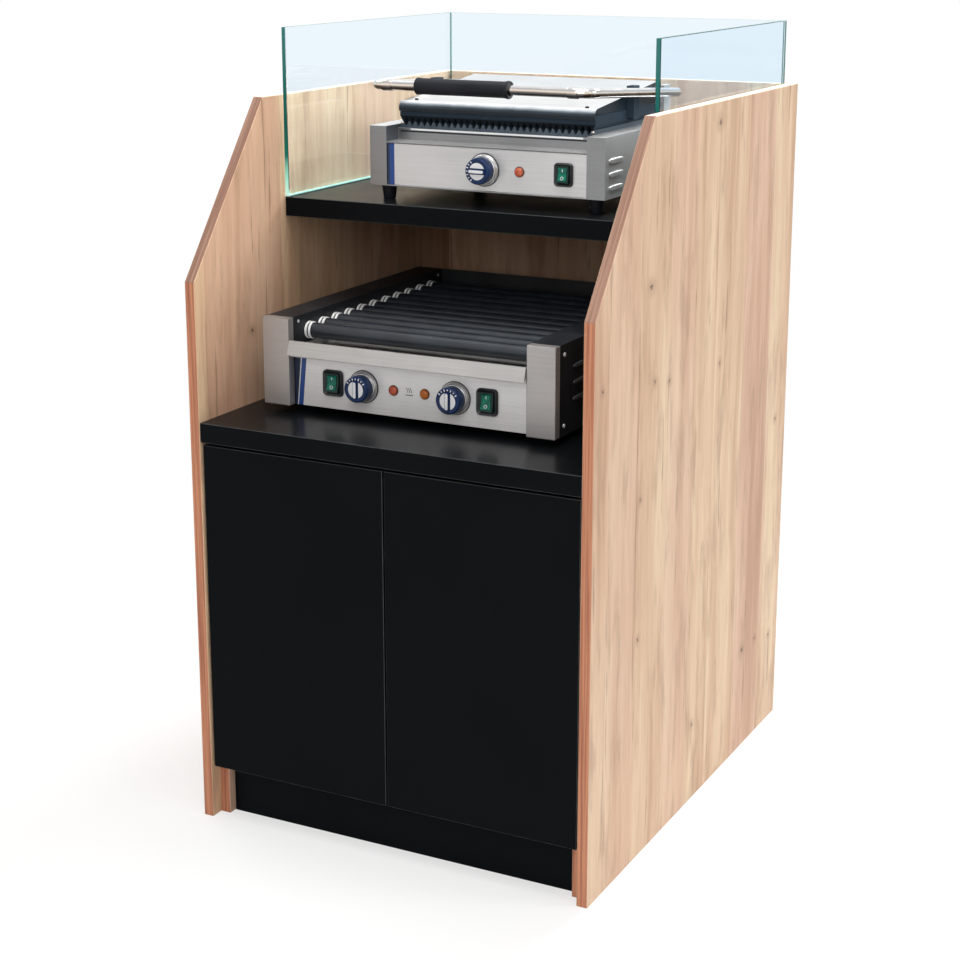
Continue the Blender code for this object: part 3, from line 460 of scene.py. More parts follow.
def brushed(coat, colour, rough=(0.30, 0.44), dull=0.07, metal=1.0):
    """Brushing along X: noise drawn out along X that shades the colour, the roughness and the relief."""
    x, y, z = coat.spot()
    lines = coat.stretched(coat.times(x, 7.0), coat.times(y, 1500.0), coat.times(z, 1500.0))
    line = coat.noise(lines, 1.0, 3.0, 0.6)
    cloud = coat.noise(coat.place(), 9.0, 3.0)
    shade = coat.plus(coat.times(line, 0.6), coat.times(cloud, 0.4))
    darker = tuple(part * (1 - 2.2 * dull) for part in colour)
    lighter = tuple(min(part * (1 + dull), 1.0) for part in colour)
    coat.set(Metallic=metal, Roughness=coat.spread(shade, 0.25, 0.75, *rough))
    coat.relief(line, 0.10, 0.0003)
    return coat.blend(coat.spread(shade, 0.30, 0.70), darker, lighter)


def stainless_finish(name, colour, metal, stripes=(), panel=None, lean=0.0):
    """Brushed stainless sheet. Stripes are bands given as (left edge, right edge, colour), in millimetres
    from a panel's left edge; a blue band is print, and a dark navy band by the left edge is painted shade
    from the part beside it, partly print. Lean is how far a band moves in X for each metre of height."""
    coat = Finish(name)
    colour = brushed(coat, colour, metal=metal)
    x, _, z = coat.spot()
    for left, right, print_and_shade_colour in stripes:
        corner = box_of(panel)[0]
        place = coat.minus(x, coat.times(coat.minus(z, corner[2]), lean))
        inside = coat.times(coat.above(place, corner[0] + left * MM),
                            coat.below(place, corner[0] + right * MM))
        colour = coat.blend(inside, colour, print_and_shade_colour)
        metal = coat.times(metal, coat.minus(1.0, inside))
    coat.set(Base_Color=colour, Metallic=metal)
    return coat.material


def lid_finish():
    """Bright brushed sheet on top of the lid, with dark blue-black cheeks where it faces sideways."""
    coat = Finish("lid sheet")
    colour = brushed(coat, (0.800, 0.806, 0.808), (0.26, 0.38), 0.05)
    cheek = coat.facing("X")
    coat.set(Base_Color=coat.blend(cheek, colour, (0.020, 0.030, 0.042)), Metallic=coat.minus(1.0, cheek),
             Specular_IOR_Level=0.12)
    return coat.material


def painted_light_by_slope(coat, grain, sway, stops, scale=1.0, shift=0.0):
    """Painted light and shade: colours picked by how far the surface faces up, unsettled a little by noise;
    returns the noise.
    """
    cloud = coat.noise(coat.place(), grain, 3.0)
    lifted = coat.times(coat.minus(cloud, 0.5), sway, coat.normal()[2])
    coat.set(Base_Color=coat.shades(coat.times(lifted, scale, shift), stops))
    return cloud


def nose_finish():
    """Rolled front edge of the lid with its light painted in: a painted highlight where it faces up, and dark
    blue-grey painted shade where it faces ahead.
    """
    coat = Finish("rolled lid edge")
    cloud = painted_light_by_slope(coat, 60.0, 0.12, [
        (0.0, (0.010, 0.016, 0.023)), (0.30, (0.040, 0.055, 0.070)), (0.58, (0.180, 0.215, 0.245)),
        (0.82, (0.520, 0.550, 0.570)), (0.98, (0.860, 0.870, 0.870))])
    coat.set(Metallic=0.6, Roughness=coat.spread(cloud, 0.3, 0.7, 0.32, 0.44))
    coat.relief(coat.noise(coat.place(), 700.0, 2.0), 0.06, 0.0003)
    return coat.material


def chrome_finish():
    """Polished bar with a painted reflection: bright where it faces up or ahead, with darker bands below as a
    room would show in it.
    """
    coat = Finish("polished chrome")
    cloud = painted_light_by_slope(coat, 40.0, 0.16, [
        (0.10, (0.150, 0.140, 0.130)), (0.34, (0.070, 0.072, 0.078)), (0.46, (0.360, 0.300, 0.250)),
        (0.56, (0.860, 0.745, 0.645)), (0.74, (0.460, 0.455, 0.450)), (0.95, (0.820, 0.815, 0.810))],
        0.5, 0.5)
    coat.set(Metallic=1.0, Roughness=coat.spread(cloud, 0.3, 0.7, 0.08, 0.17))
    coat.relief(coat.noise(coat.place(), 300.0, 2.0), 0.02, 0.0003)
    return coat.material


def body_sheet_finish():
    """The contact grill's folded body: brushed in front, with a painted highlight where it faces up, brighter
    satin on its outer cheeks, painted shade on the cheeks that face the plates, and black below, partly a
    black underside and partly painted shade."""
    coat = Finish("grill body sheet")
    front = brushed(coat, (0.245, 0.247, 0.250))
    normal = coat.normal()
    away = coat.minus(coat.spot()[0], box_of("contact_grill_body")[2][0])
    inner = coat.below(coat.times(away, normal[0]), 0.0)
    satin = coat.blend(coat.noise(coat.place(), 14.0, 3.0), (0.360, 0.382, 0.405), (0.460, 0.482, 0.505))
    # Painted shade on the cheeks that face the plates
    satin = coat.blend(inner, satin, (0.060, 0.070, 0.085))
    # Painted highlight: the front sheet turns pale where it faces up
    sheet = coat.blend(coat.spread(normal[2], 0.3, 0.9), front, (0.780, 0.775, 0.770))
    # Black below: partly the black underside, partly painted shade under the body
    sheet = coat.blend(coat.below(normal[2], -0.8), sheet, (0.010, 0.011, 0.013))
    cheek = coat.facing("X")
    coat.set(Base_Color=coat.blend(cheek, sheet, satin), Metallic=coat.times(cheek, -0.65, 1.0))
    return coat.material


def burnt_iron_finish():
    """The upper cast plate: near-black on its lower edge by the teeth, blue-grey above it and on its side
    cheeks.
    """
    coat = Finish("burnt cast iron")
    cloud = coat.noise(coat.place(), 30.0, 4.0)
    teeth_black = coat.blend(cloud, (0.002, 0.003, 0.004), (0.006, 0.008, 0.011))
    side = coat.blend(cloud, (0.016, 0.027, 0.040), (0.030, 0.045, 0.062))
    foot = box_of("upper_plate")[0][2]
    above_teeth = coat.spread(coat.spot()[2], foot + 7 * MM, foot + 10 * MM)
    coat.set(Base_Color=coat.blend(coat.most(above_teeth, coat.facing("X")), teeth_black, side),
             Roughness=coat.spread(cloud, 0.3, 0.7, 0.52, 0.70), Specular_IOR_Level=0.06)
    coat.relief(coat.noise(coat.place(), 420.0, 3.0), 0.30, 0.0004)
    return coat.material


def coated_finish(name, dark, light, rough, grain, strength, metallic=0.0, specular=0.5):
    """A coated, cast or moulded surface: two close tones and a grainy relief from noise."""
    coat = Finish(name)
    cloud = coat.noise(coat.place(), 22.0, 4.0)
    fine = coat.noise(coat.place(), grain, 3.0)
    shade = coat.plus(coat.times(cloud, 0.5), coat.times(fine, 0.5))
    coat.set(Base_Color=coat.blend(coat.spread(cloud, 0.3, 0.7), dark, light), Metallic=metallic,
             Roughness=coat.spread(shade, 0.3, 0.7, *rough), Specular_IOR_Level=specular)
    coat.relief(fine, strength, 0.0004)
    return coat.material


def lens_finish(name, deep, bright, clear):
    """A translucent coloured lens: deeper and brighter patches, smooth and partly see-through."""
    coat = Finish(name)
    cloud = coat.noise(coat.place(), 90.0, 2.0)
    coat.set(Base_Color=coat.blend(coat.spread(cloud, 0.35, 0.65), deep, bright), Transmission_Weight=clear,
             Roughness=coat.spread(cloud, 0.3, 0.7, 0.10, 0.22), IOR=1.49, Specular_IOR_Level=0.25)
    coat.relief(coat.noise(coat.place(), 700.0, 1.0), 0.05, 0.0003)
    return coat.material


def glass_finish(node, face_axis):
    """A clear pane with a faint blue tint through its faces. Its edges have the glass's own teal with painted
    light in them: a painted glow, bright along the foot, deep above it and greyer along the top. Lamps shine
    through it."""
    coat = Finish(node)
    z = coat.spot()[2]
    low, high, _ = box_of(node)
    wave = coat.times(coat.noise(coat.place(), 30.0, 2.0), 0.02, z)
    # Painted glow: the edge colour is brightest at the foot and greyer at the top
    edge = coat.shades(coat.spread(wave, low[2], high[2]),
                       [(0.0, (0.640, 0.980, 0.900)), (0.05, (0.340, 0.860, 0.720)),
                        (0.20, (0.006, 0.150, 0.120)), (0.50, (0.004, 0.090, 0.078)),
                        (0.80, (0.012, 0.140, 0.122)), (1.0, (0.040, 0.180, 0.165))])
    clear = coat.times(coat.facing(face_axis), coat.above(z, low[2] + 2.6 * MM))
    coat.set(Base_Color=coat.blend(clear, edge, (0.840, 0.925, 0.985)), Transmission_Weight=clear,
             Roughness=coat.times(clear, -0.25, 0.26), IOR=1.22)
    through = coat.add("BsdfTransparent", Color=(0.930, 0.970, 0.985))
    coat.show(coat.add("LightPath").outputs["Is Shadow Ray"], coat.shader, through)
    return coat.material


# Name, two tones, range of roughness, grain, depth of the grain, metallic share, specular level
COATED = {
    # The louvres' grey is a painted highlight: lighter than the black housing they are stamped in
    "louvre": ("louvre painted highlight", (0.040, 0.042, 0.046), (0.065, 0.068, 0.074), (0.28, 0.40), 900.0, 0.06),
    "black_steel": ("black powder coat", (0.006, 0.007, 0.009), (0.012, 0.014, 0.018), (0.40, 0.55), 1300.0,
                    0.12, 0.0, 0.35),
    "coating": ("roller coating", (0.010, 0.014, 0.020), (0.017, 0.023, 0.031), (0.34, 0.48), 900.0, 0.08),
    "cast_iron": ("cast iron", (0.026, 0.040, 0.056), (0.044, 0.064, 0.086), (0.38, 0.58), 420.0,
                  0.30, 0.0, 0.45),
    "rubber": ("black rubber", (0.005, 0.006, 0.009), (0.010, 0.011, 0.016), (0.42, 0.60), 800.0,
               0.15, 0.0, 0.18),
    "zinc": ("zinc plate", (0.430, 0.440, 0.450), (0.600, 0.610, 0.620), (0.30, 0.46), 260.0, 0.06, 0.65),
    "white_seal": ("white seal", (0.780, 0.780, 0.770), (0.880, 0.880, 0.870), (0.32, 0.46), 600.0, 0.08),
    "blue_plastic": ("blue plastic", (0.004, 0.016, 0.062), (0.006, 0.025, 0.088), (0.24, 0.36), 700.0,
                     0.06, 0.0, 0.22),
    "silver": ("silver ring", (0.680, 0.684, 0.688), (0.740, 0.744, 0.748), (0.22, 0.26), 700.0, 0.01, 0.70),
    "black_plastic": ("black plastic", (0.006, 0.008, 0.010), (0.012, 0.014, 0.016), (0.30, 0.42), 900.0,
                      0.08),
    "white_print": ("white print", (0.640, 0.660, 0.690), (0.760, 0.770, 0.790), (0.40, 0.50), 900.0, 0.03),
    "dark_print": ("dark print", (0.030, 0.032, 0.040), (0.050, 0.052, 0.060), (0.45, 0.55), 900.0, 0.03),
    "dark_green": ("dark green plastic", (0.002, 0.014, 0.011), (0.004, 0.028, 0.021), (0.22, 0.34), 900.0,
                   0.05, 0.0, 0.30),
    "lamp_rim": ("brown lamp rim", (0.090, 0.022, 0.012), (0.160, 0.045, 0.022), (0.28, 0.40), 900.0, 0.05),
}

# Name, deep tone, bright tone, see-through share
LENSES = {
    "green_lens": ("green rocker", (0.001, 0.110, 0.070), (0.004, 0.200, 0.130), 0.0),
    "red_lens": ("red lamp lens", (0.480, 0.085, 0.040), (0.640, 0.150, 0.075), 0.10),
    "amber_lens": ("amber lamp lens", (0.470, 0.120, 0.018), (0.620, 0.200, 0.035), 0.10),
}

PRINT_BLUE = (0.007, 0.050, 0.230)
PANES = (("left_glass", "X"), ("right_glass", "X"), ("back_glass", "Y"))

FINISHES = {
    "oak_sides": oak_finish("oak side boards", "X"),
    # The left and back boards are painted light: warmer, brighter copies of the oak for the light on them
    "oak_left_painted_light": oak_finish("oak left board painted light", "X", (1.06, 1.02, 0.950)),
    "oak_back_painted_light": oak_finish("oak back board painted light", "Y", (1.02, 0.930, 0.880)),
    "black_board": black_board_finish(),
    "stainless": stainless_finish("stainless sheet", (0.400, 0.378, 0.370), 0.60),
    "tray_sheet": stainless_finish("tray sheet", (0.450, 0.438, 0.425), 0.60),
    # The dark navy bands by the panels' left edges are painted shade: of the cap on the roller grill's panel,
    # where a dark print band runs too, and of the column on the contact grill's panel
    "roller_panel": stainless_finish("striped panel", (0.790, 0.784, 0.784), 0.22, [
        (-10.0, 4.5, (0.006, 0.016, 0.045)), (6.2, 15.0, PRINT_BLUE)], "roller_grill_panel", 0.10),
    "contact_panel": stainless_finish("striped grill panel", (0.580, 0.576, 0.577), 0.55, [
        (-2.0, 5.0, (0.006, 0.018, 0.055)), (5.0, 13.5, PRINT_BLUE)], "contact_grill_panel"),
    "body_sheet": body_sheet_finish(),
    "nose": nose_finish(),
    "lid": lid_finish(),
    "burnt_iron": burnt_iron_finish(),
    "chrome": chrome_finish(),
    **{key: coated_finish(*row) for key, row in COATED.items()},
    **{key: lens_finish(*row) for key, row in LENSES.items()},
    **{node: glass_finish(node, axis) for node, axis in PANES},
}

# CAD nodes that keep their shape, by finish
DRESSED = {
    "oak_sides": ["right_side_panel", "left_carcass_side", "right_carcass_side"],
    "oak_left_painted_light": ["left_side_panel"],
    "oak_back_painted_light": ["back_panel"],
    "black_board": ["plinth_board", "cupboard_floor", "worktop", "upper_shelf", "left_door", "right_door"],
    "zinc": ["left_upper_hinge", "left_lower_hinge", "right_upper_hinge", "right_lower_hinge",
             "drive_sprocket", "gear_motor", "drive_chain"],
    "roller_panel": ["roller_grill_panel"],
    "stainless": ["roller_grill_left_cap", "roller_grill_right_cap"],
    "tray_sheet": ["drip_tray"],
    "black_steel": ["roller_grill_base", "roller_grill_left_housing", "roller_grill_right_housing"],
    "contact_panel": ["contact_grill_panel"],
    "body_sheet": ["contact_grill_body"],
    "cast_iron": ["lower_plate"],
    "burnt_iron": ["upper_plate"],
    **{node: [node] for node, _ in PANES},
}
SOFTENED = ("roller_grill_left_cap", "roller_grill_right_cap", "roller_grill_panel", "contact_grill_body",
            "contact_grill_panel")


def dress_nodes():
    """Gives the CAD nodes that stay in sight their finish."""
    for finish, nodes in DRESSED.items():
        for node in nodes:
            mesh = NODES[node].data
            mesh.materials.clear()
            mesh.materials.append(FINISHES[finish])


def soften_edges():
    """Rounds the edges of the folded sheets a little, so that they catch the light."""
    for node in SOFTENED:
        weld = NODES[node].modifiers.new("weld", "WELD")
        weld.merge_threshold = WELD
        bevel = NODES[node].modifiers.new("round edges", "BEVEL")
        bevel.width = SHEET_ROUND
        bevel.segments = 2
        bevel.limit_method = "ANGLE"
        bevel.angle_limit = math.radians(40)
        bevel.harden_normals = True


# Cabinet


def add_hinge_cups():
    """A pressed cup flange with two screws on each door's back, round the end of each hinge arm."""
    bowl = mm([(0, 0.15), (16.2, 0.15), (16.9, 1.1), (19.4, 1.2), (20.2, 0.8), (20.4, -0.2), (0, -0.2)])
    wing = mm([(-9, 1.0), (-1.2, 1.0), (-0.3, 0.8), (0, 0.3), (0, -0.2), (-9, -0.2)])
    for side, way in SIDES:
        back = box_of(side + "_door")[1][1]
        for level in ("upper", "lower"):
            middle = box_of(f"{side}_{level}_hinge")[2]
            place = np.array([way * (abs(middle[0]) + 1.5 * MM), back, middle[2]])
            grids = [turned(bowl, place, Y, 48)]
            for up in (-1, 1):
                tab = place + Z * up * 24 * MM
                grids.append(moulding(wing, tab, mm((9, 9)), 5 * MM, (X, Z, Y)))
                grids.append(screw_head(tab + Y * MM, Y, 4.2 * MM, 1.6 * MM))
            make_piece(f"{side}_{level}_hinge_cup", grids, "zinc", side + "_door")


# Roller grill


def add_rollers():
    """Each roller as a turned tube with its journals and sprocket, and two white seal rings at each end."""
    fold = 9.7 * MM            # the housing's folded edge, less a running gap
    wall_low = box_of("roller_grill_left_housing")[1][0] - fold
    wall_high = box_of("roller_grill_right_housing")[0][0] + fold
    seal = np.array([(12.4, 0.3), (13.7, 0.3), (14.2, 1.0), (14.25, 2.2), (14.1, 3.4), (13.6, 4.0),
                     (12.4, 4.1), (12.4, 0.3)])
    journal, shoulder, skin = mm((6.0, 11.6, 12.5))
    root, tip = mm((11.0, 11.5))
    for name in (f"roller_{number:02d}" for number in range(1, 12)):
        low, high, middle = box_of(name)
        axis = np.array([0, middle[1], middle[2]])
        start, end = wall_low + 2 * MM, wall_high - 2 * MM
        stub, face, last = low[0], high[0] - 6 * MM, high[0]
        profile = [(0, stub), (journal, stub), (journal, start), (shoulder, start), (skin, start + 0.9 * MM),
                   (skin, end - 0.9 * MM), (shoulder, end), (journal, end), (journal, face),
                   (root, face + 0.4 * MM), (tip, face + MM), (tip, last - MM), (root, last), (0, last)]
        make_piece(name + "_tube", [turned(profile, axis, X, 72)], "coating", name, [name])
        rings = [turned((seal + [0, offset]) * [MM, way * MM], axis + X * inner, X, 72)
                 for inner, way in ((wall_low, 1), (wall_high, -1)) for offset in (0.0, 6.6)]
        make_piece(name + "_seals", rings, "white_seal", name)


def add_knob(name, quarter):
    """A thermostat knob: a silver cone and collar with black grooves beside them, a blue cap with a raised
    grip, a white face on both sides of it and white scale marks; quarter turns the face by right angles."""
    place = on_panel(name, box_of(name)[2])

    def rings(*lines):
        return [turned(mm(line), place, AHEAD, 96) for line in lines]

    rim = [(25.5, 0.3), (26.7, 0.3), (26.7, 1.6), (26.2, 2.3), (25.5, 2.3), (25.5, 0.3)]
    groove = [(21.9, 0.3), (22.8, 0.3), (22.8, 4.0), (21.9, 4.0), (21.9, 0.3)]
    cone = [(22.7, 0.3), (25.6, 0.3), (25.6, 2.2), (25.1, 3.2), (23.6, 6.3), (23.1, 6.7), (22.7, 6.4),
            (22.7, 0.3)]
    collar = [(20.8, 0.3), (22.0, 0.3), (22.1, 7.2), (21.8, 8.1), (21.3, 8.3), (20.8, 7.8), (20.8, 0.3)]
    make_piece(name + "_rings", rings(cone, collar), "silver", name)
    make_piece(name + "_groove", rings(rim, groove), "black_plastic", name)
    tall = 26.3
    cap = [(0, -12), (3, -12), (3, 0.4), (20.7, 0.4), (20.7, 8.4), (21.2, 9.4), (21.4, 11.0),
           (21.2, tall - 2.5), (20.7, tall - 0.5), (19.6, tall + 0.5), (18.2, tall + 0.7), (16.6, tall + 0.6),
           (15.6, tall + 0.1), (0, tall)]
    turn = quarter * math.pi / 2
    up = math.cos(turn) * Z + math.sin(turn) * X
    axes = (np.cross(up, AHEAD), up, AHEAD)
    face = place + AHEAD * tall * MM
    grip = [(-3.3, 4.4), (-1.0, 4.4), (-0.3, 4.1), (0, 3.4), (0, -0.5), (-3.3, -0.5)]
    blue = [*rings(cap), moulding(mm(grip), face, mm((3.3, 14.4)), 3.2 * MM, axes)]
    make_piece(name + "_cap", blue, "blue_plastic", name, [name])
    inlay = mm([(-2.4, 0.25), (-0.3, 0.25), (0, 0.0), (0, -0.4), (-2.4, -0.4)])
    white = [moulding(inlay, face + AHEAD * 4.4 * MM, mm((2.4, 12.9)), 2.3 * MM, axes)]
    disc, slot = 13.6, 4.9
    opening = math.degrees(math.acos(slot / disc))
    for way in (0, 180):
        segment = arc((0, 0), disc * MM, way - opening, way + opening, 24)
        white.append(slab(segment, -0.4 * MM, 0.3 * MM, face, axes))
    marks, swing, ring = 7, 54, 17.6
    for number, angle in enumerate(np.radians(np.linspace(-swing, swing, marks))):
        out = math.cos(angle) * up + math.sin(angle) * axes[0]
        half = mm((0.90, 1.9 if number % 2 == 0 else 1.4))
        spot = face + AHEAD * 0.6 * MM + out * ring * MM
        aside = np.cross(out, AHEAD)
        white.append(moulding(inlay * [0.375, 0.6], spot, half, 0.88 * MM, (aside, out, AHEAD)))
    make_piece(name + "_marks", white, "white_print", name)


def add_lamp(name, lens):
    """A pilot lamp: a brown rim on the panel and a domed lens with a dimple, the dome's height being the root
    of 1 - r^2, lowered near the axis."""
    place = on_panel(name, box_of(name)[2])
    radius, foot, tall, dimple = 7.3, 2.6, 3.8, 1.0
    share = np.linspace(1, 0, 29)
    dome = foot + tall * np.sqrt(np.maximum(1 - share ** 2, 0)) - dimple * (share < 0.30)
    stem = [(0, -12), (4.0, -12), (4.0, 0.3), (radius, 0.3)]
    profile = np.concatenate([stem, np.stack([radius * share, dome], 1)])
    make_piece(name + "_lens", [turned(mm(profile), place, AHEAD, 48)], lens, "root", [name])
    rim = [(7.35, 0.2), (8.5, 0.2), (8.5, 1.2), (8.2, 2.1), (7.8, 2.4), (7.35, 2.2), (7.35, 0.2)]
    make_piece(name + "_rim", [turned(mm(rim), place, AHEAD, 48)], "lamp_rim", "root")


def add_rocker(name, size):
    """A rocker switch: a moulded frame with round corners on the panel, and the green paddle, a bar whose
    front sags in a shallow curve between its two ends, with an upright bar and a ring as its marks."""
    pivot = pivot_of("child", name)
    unit = size * MM
    rail = np.array([(-6.0, 0.2), (0, 0.2), (0, 3.2), (-0.6, 4.8), (-1.7, 5.6), (-3.2, 5.4), (-4.8, 4.0),
                     (-6.0, 3.4), (-6.0, 0.2)])
    half, corner = np.array((18.4, 21.3)), 7.0
    edge = moulding(rail * unit, on_panel(name, pivot), half * unit, corner * unit, (X, Z, AHEAD), 8)
    make_piece(name + "_frame", [edge], "black_plastic", "root")
    tilt = math.radians(9)
    turn = np.array([[math.cos(tilt), math.sin(tilt)], [-math.sin(tilt), math.cos(tilt)]])

    def bar(outline, width):
        return slab(mm(outline @ turn.T) + pivot[1:], pivot[0] - width * unit, pivot[0] + width * unit)

    end = 15.0 * size
    sag = np.linspace(-1, 1, 17)
    front = np.stack([-8.0 + 2.0 * (1 - sag ** 2), end * sag], 1)
    back = [(-7.4, end + 0.1), (0, end), (4, end - 2), (4, 2 - end), (0, -end), (-7.4, -end - 0.1)]
    paddle = np.concatenate([front, back])
    make_piece(name + "_paddle", [bar(paddle, 11.9)], "dark_green", name, [name])
    window = np.concatenate([front * [1.0, 0.78] - [0.35, 0], [(-5.0, 0.76 * end), (-5.0, -0.76 * end)]])
    make_piece(name + "_window", [bar(window, 8.4)], "green_lens", name)
    out = np.array([0, *(turn @ [-1.0, 0.0])])
    up = np.array([0, *(turn @ [0.0, 1.0])])
    lean = 0.204 / size
    long = math.hypot(1, lean)
    stroke = mm([(-0.65, 0.2), (0, 0.2), (0, -0.3), (-0.65, -0.3)])
    ring = mm([(2.0, -0.3), (2.0, 0.2), (2.9, 0.2), (2.9, -0.3), (2.0, -0.3)])
    high, low = (pivot + way * up * 7 * unit + out * 7.08 * MM for way in (1, -1))
    tilted = (X, (up + lean * out) / long, (out - lean * up) / long)
    marks = [moulding(stroke, high, mm((0.65, 2.4)), 0.6 * MM, tilted),
             turned(ring, low, (out + lean * up) / long, 32, X)]
    make_piece(name + "_signs", marks, "white_print", name)


def add_roller_grill_trim():
    """Screws on the housings, louvres on their outer sides and a small heat sign on the panel."""
    for side, way in SIDES:
        low, high, _ = box_of(f"roller_grill_{side}_housing")
        outer, inner = (high[0], low[0]) if way > 0 else (low[0], high[0])
        inner += way * 10 * MM
        screws = []
        for y in (low[1] + 14 * MM, high[1] - 16 * MM):
            for z in (low[2] + 14 * MM, high[2] - 16 * MM):
                screws.append(screw_head((outer, y, z), way * X, 3.4 * MM, 1.8 * MM))
            screws.append(screw_head((inner, y, high[2] - 9 * MM), -way * X, 2.6 * MM, 1.5 * MM))
        make_piece(f"roller_grill_{side}_screws", screws, "zinc", "root")
        slots = [pillow((outer, low[1] + (81 + 130 * column) * MM, low[2] + (49 + 25.5 * row) * MM),
                        mm((2.4, 34, 3.6)), 0.55) for row in range(3) for column in range(3)]
        make_piece(f"roller_grill_{side}_louvres", slots, "louvre", "root")
    low, _, middle = box_of("roller_grill_panel")
    start = np.array([middle[0], low[1], box_of("roller_grill_left_lamp")[2][2]])
    along = np.linspace(0, 1, 17)
    flat = np.zeros_like(along)
    strokes = [tube(start + mm(np.stack([offset + 0.9 * np.sin(along * math.tau), flat, along * 8 - 1], 1)),
                    0.45 * MM, Y, 8) for offset in (-3.4, 0.0, 3.4)]
    strokes.append(tube(start + mm(np.stack([(along - 0.5) * 13, flat, flat - 5], 1)), 0.6 * MM, Y, 8))
    make_piece("roller_grill_heat_sign", strokes, "dark_print", "root")


# Contact grill


def add_feet():
    """Tapered rubber feet with a round lower edge and a washer-like collar on top."""
    for node in (f"contact_grill_foot_{number}" for number in range(1, 5)):
        low, high, middle = box_of(node)
        tall = (high[2] - low[2]) / MM
        profile = [(0, 0), (8.6, 0), (9.6, 0.5), (10.1, 1.6), (12.4, tall - 4), (13.0, tall - 3.4),
                   (13.0, tall - 0.4), (12.6, tall), (0, tall)]
        foot = turned(mm(profile), (*middle[:2], low[2]), Z, 48)
        make_piece(f"{node}_rubber", [foot], "rubber", "root", [node])


def lid_height(y):
    """Height of the lid's sloping top at a depth."""
    low, high, _ = box_of("lid_cover")
    share = (y - low[1]) / (high[1] - low[1])
    return low[2] + 10.2 * MM + share * (high[2] - low[2] - 10.4 * MM)


def add_lid():
    """The lid as one folded sheet wedge carried along X, a rolled edge along its front, and two screws."""
    low, high, middle = box_of("lid_cover")
    plate_low, plate_high, _ = box_of("lower_plate")
    half = (plate_high[0] - plate_low[0]) / 2
    front, back = low[1], high[1]
    fold = arc((front + 3.2 * MM, low[2] + 6.6 * MM), 3.2 * MM, 180, 110, 8)
    rear = arc((back - 3 * MM, high[2] - 3.2 * MM), 3 * MM, 84, 0, 8)
    outline = np.concatenate([[(front, low[2])], fold, rear, [(back, low[2])]])
    make_piece("lid_sheet", [slab(outline, low[0], high[0])], "lid", "lid", ["lid_cover"], 25)
    slope = math.degrees(math.atan2(lid_height(back) - lid_height(front), back - front))
    roll = 12 * MM
    depth = box_of("upper_plate")[0][1] - 4 * MM + roll
    hub = np.array([depth, lid_height(depth) - roll + 0.15 * MM])
    inside = hub + roll * np.array([(-0.80, -0.46), (-0.70, 0.2), (0, 0.80)])
    nose = np.concatenate([arc(hub, roll, 90 + slope, 205, 20), inside])
    edge = slab(nose, middle[0] - half, middle[0] + half)
    make_piece("lid_rolled_edge", [edge], "nose", "lid", (), 60)
    depth, inset = front + 14 * MM, half - 22 * MM
    screws = [screw_head((middle[0] + way * inset, depth, lid_height(depth)), Z, 3.2 * MM, 2.0 * MM)
              for _, way in SIDES]
    make_piece("lid_screws", screws, "black_steel", "lid")


def add_handle():
    """The handle as one round bar bent twice, with elbow collars, pins and a grip flanged at one end."""
    low, high, middle = box_of("handle_bar")
    grip_low, grip_high, grip = box_of("handle_grip")
    pivot = pivot_of("name", "handle_lift")
    hang = pivot_of("name", "lid_tilt")
    arm = (grip - pivot) * [0, 1, 1]
    length = float(np.linalg.norm(arm))
    ahead = arm / length
    radius, bend = 7.8 * MM, 24 * MM
    reach = (high[0] - low[0]) / 2 - radius
    turn = np.linspace(0, math.pi / 2, 13)
    left = np.stack([-reach + bend * (1 - np.cos(turn)), length - bend * (1 - np.sin(turn))], 1)
    flat = np.concatenate([[(-reach, 0.0), (-reach, length - 2 * bend)], left, -left[::-1] * [1, -1],
                           [(reach, length - 2 * bend), (reach, 0.0)]])
    centre = np.array([middle[0], pivot[1], pivot[2]])
    bar = tube(centre + flat[:, :1] * X + flat[:, 1:] * ahead, radius, np.cross(X, ahead), 32)
    collar = mm([(7.02, -9), (8.8, -8.6), (9.2, -7), (9.2, 7), (8.8, 8.6), (7.02, 9), (7.02, -9)])
    parts = [bar]
    for _, way in SIDES:
        for place, long in ((pivot, 22), (hang, 15)):
            pin = mm([(0, 0), (4, 0), (4, long), (0, long)])
            parts.append(turned(pin, (middle[0] + way * reach, *place[1:]), -way * X, 24))
        elbow = (middle[0] + way * (reach - bend - 4 * MM), *grip[1:])
        parts.append(turned(collar, elbow, X, 32))
    make_piece("handle_rod", parts, "chrome", "handle", ["handle_bar"])
    span = (grip_high[0] - grip_low[0]) / 2 / MM
    bore = 7.95
    sleeve = [(bore, -span), (12.4, -span), (13.5, 1.2 - span), (13.6, 5 - span), (12.9, 9 - span), (12.7, 0),
              (12.9, span - 10), (13.4, span - 6), (14.0, span - 5.4), (14.0, span - 1), (13.4, span),
              (bore, span), (bore, -span)]
    sleeve = turned(mm(sleeve), grip, X, 64)
    make_piece("handle_sleeve", [sleeve], "rubber", "handle", ["handle_grip"])


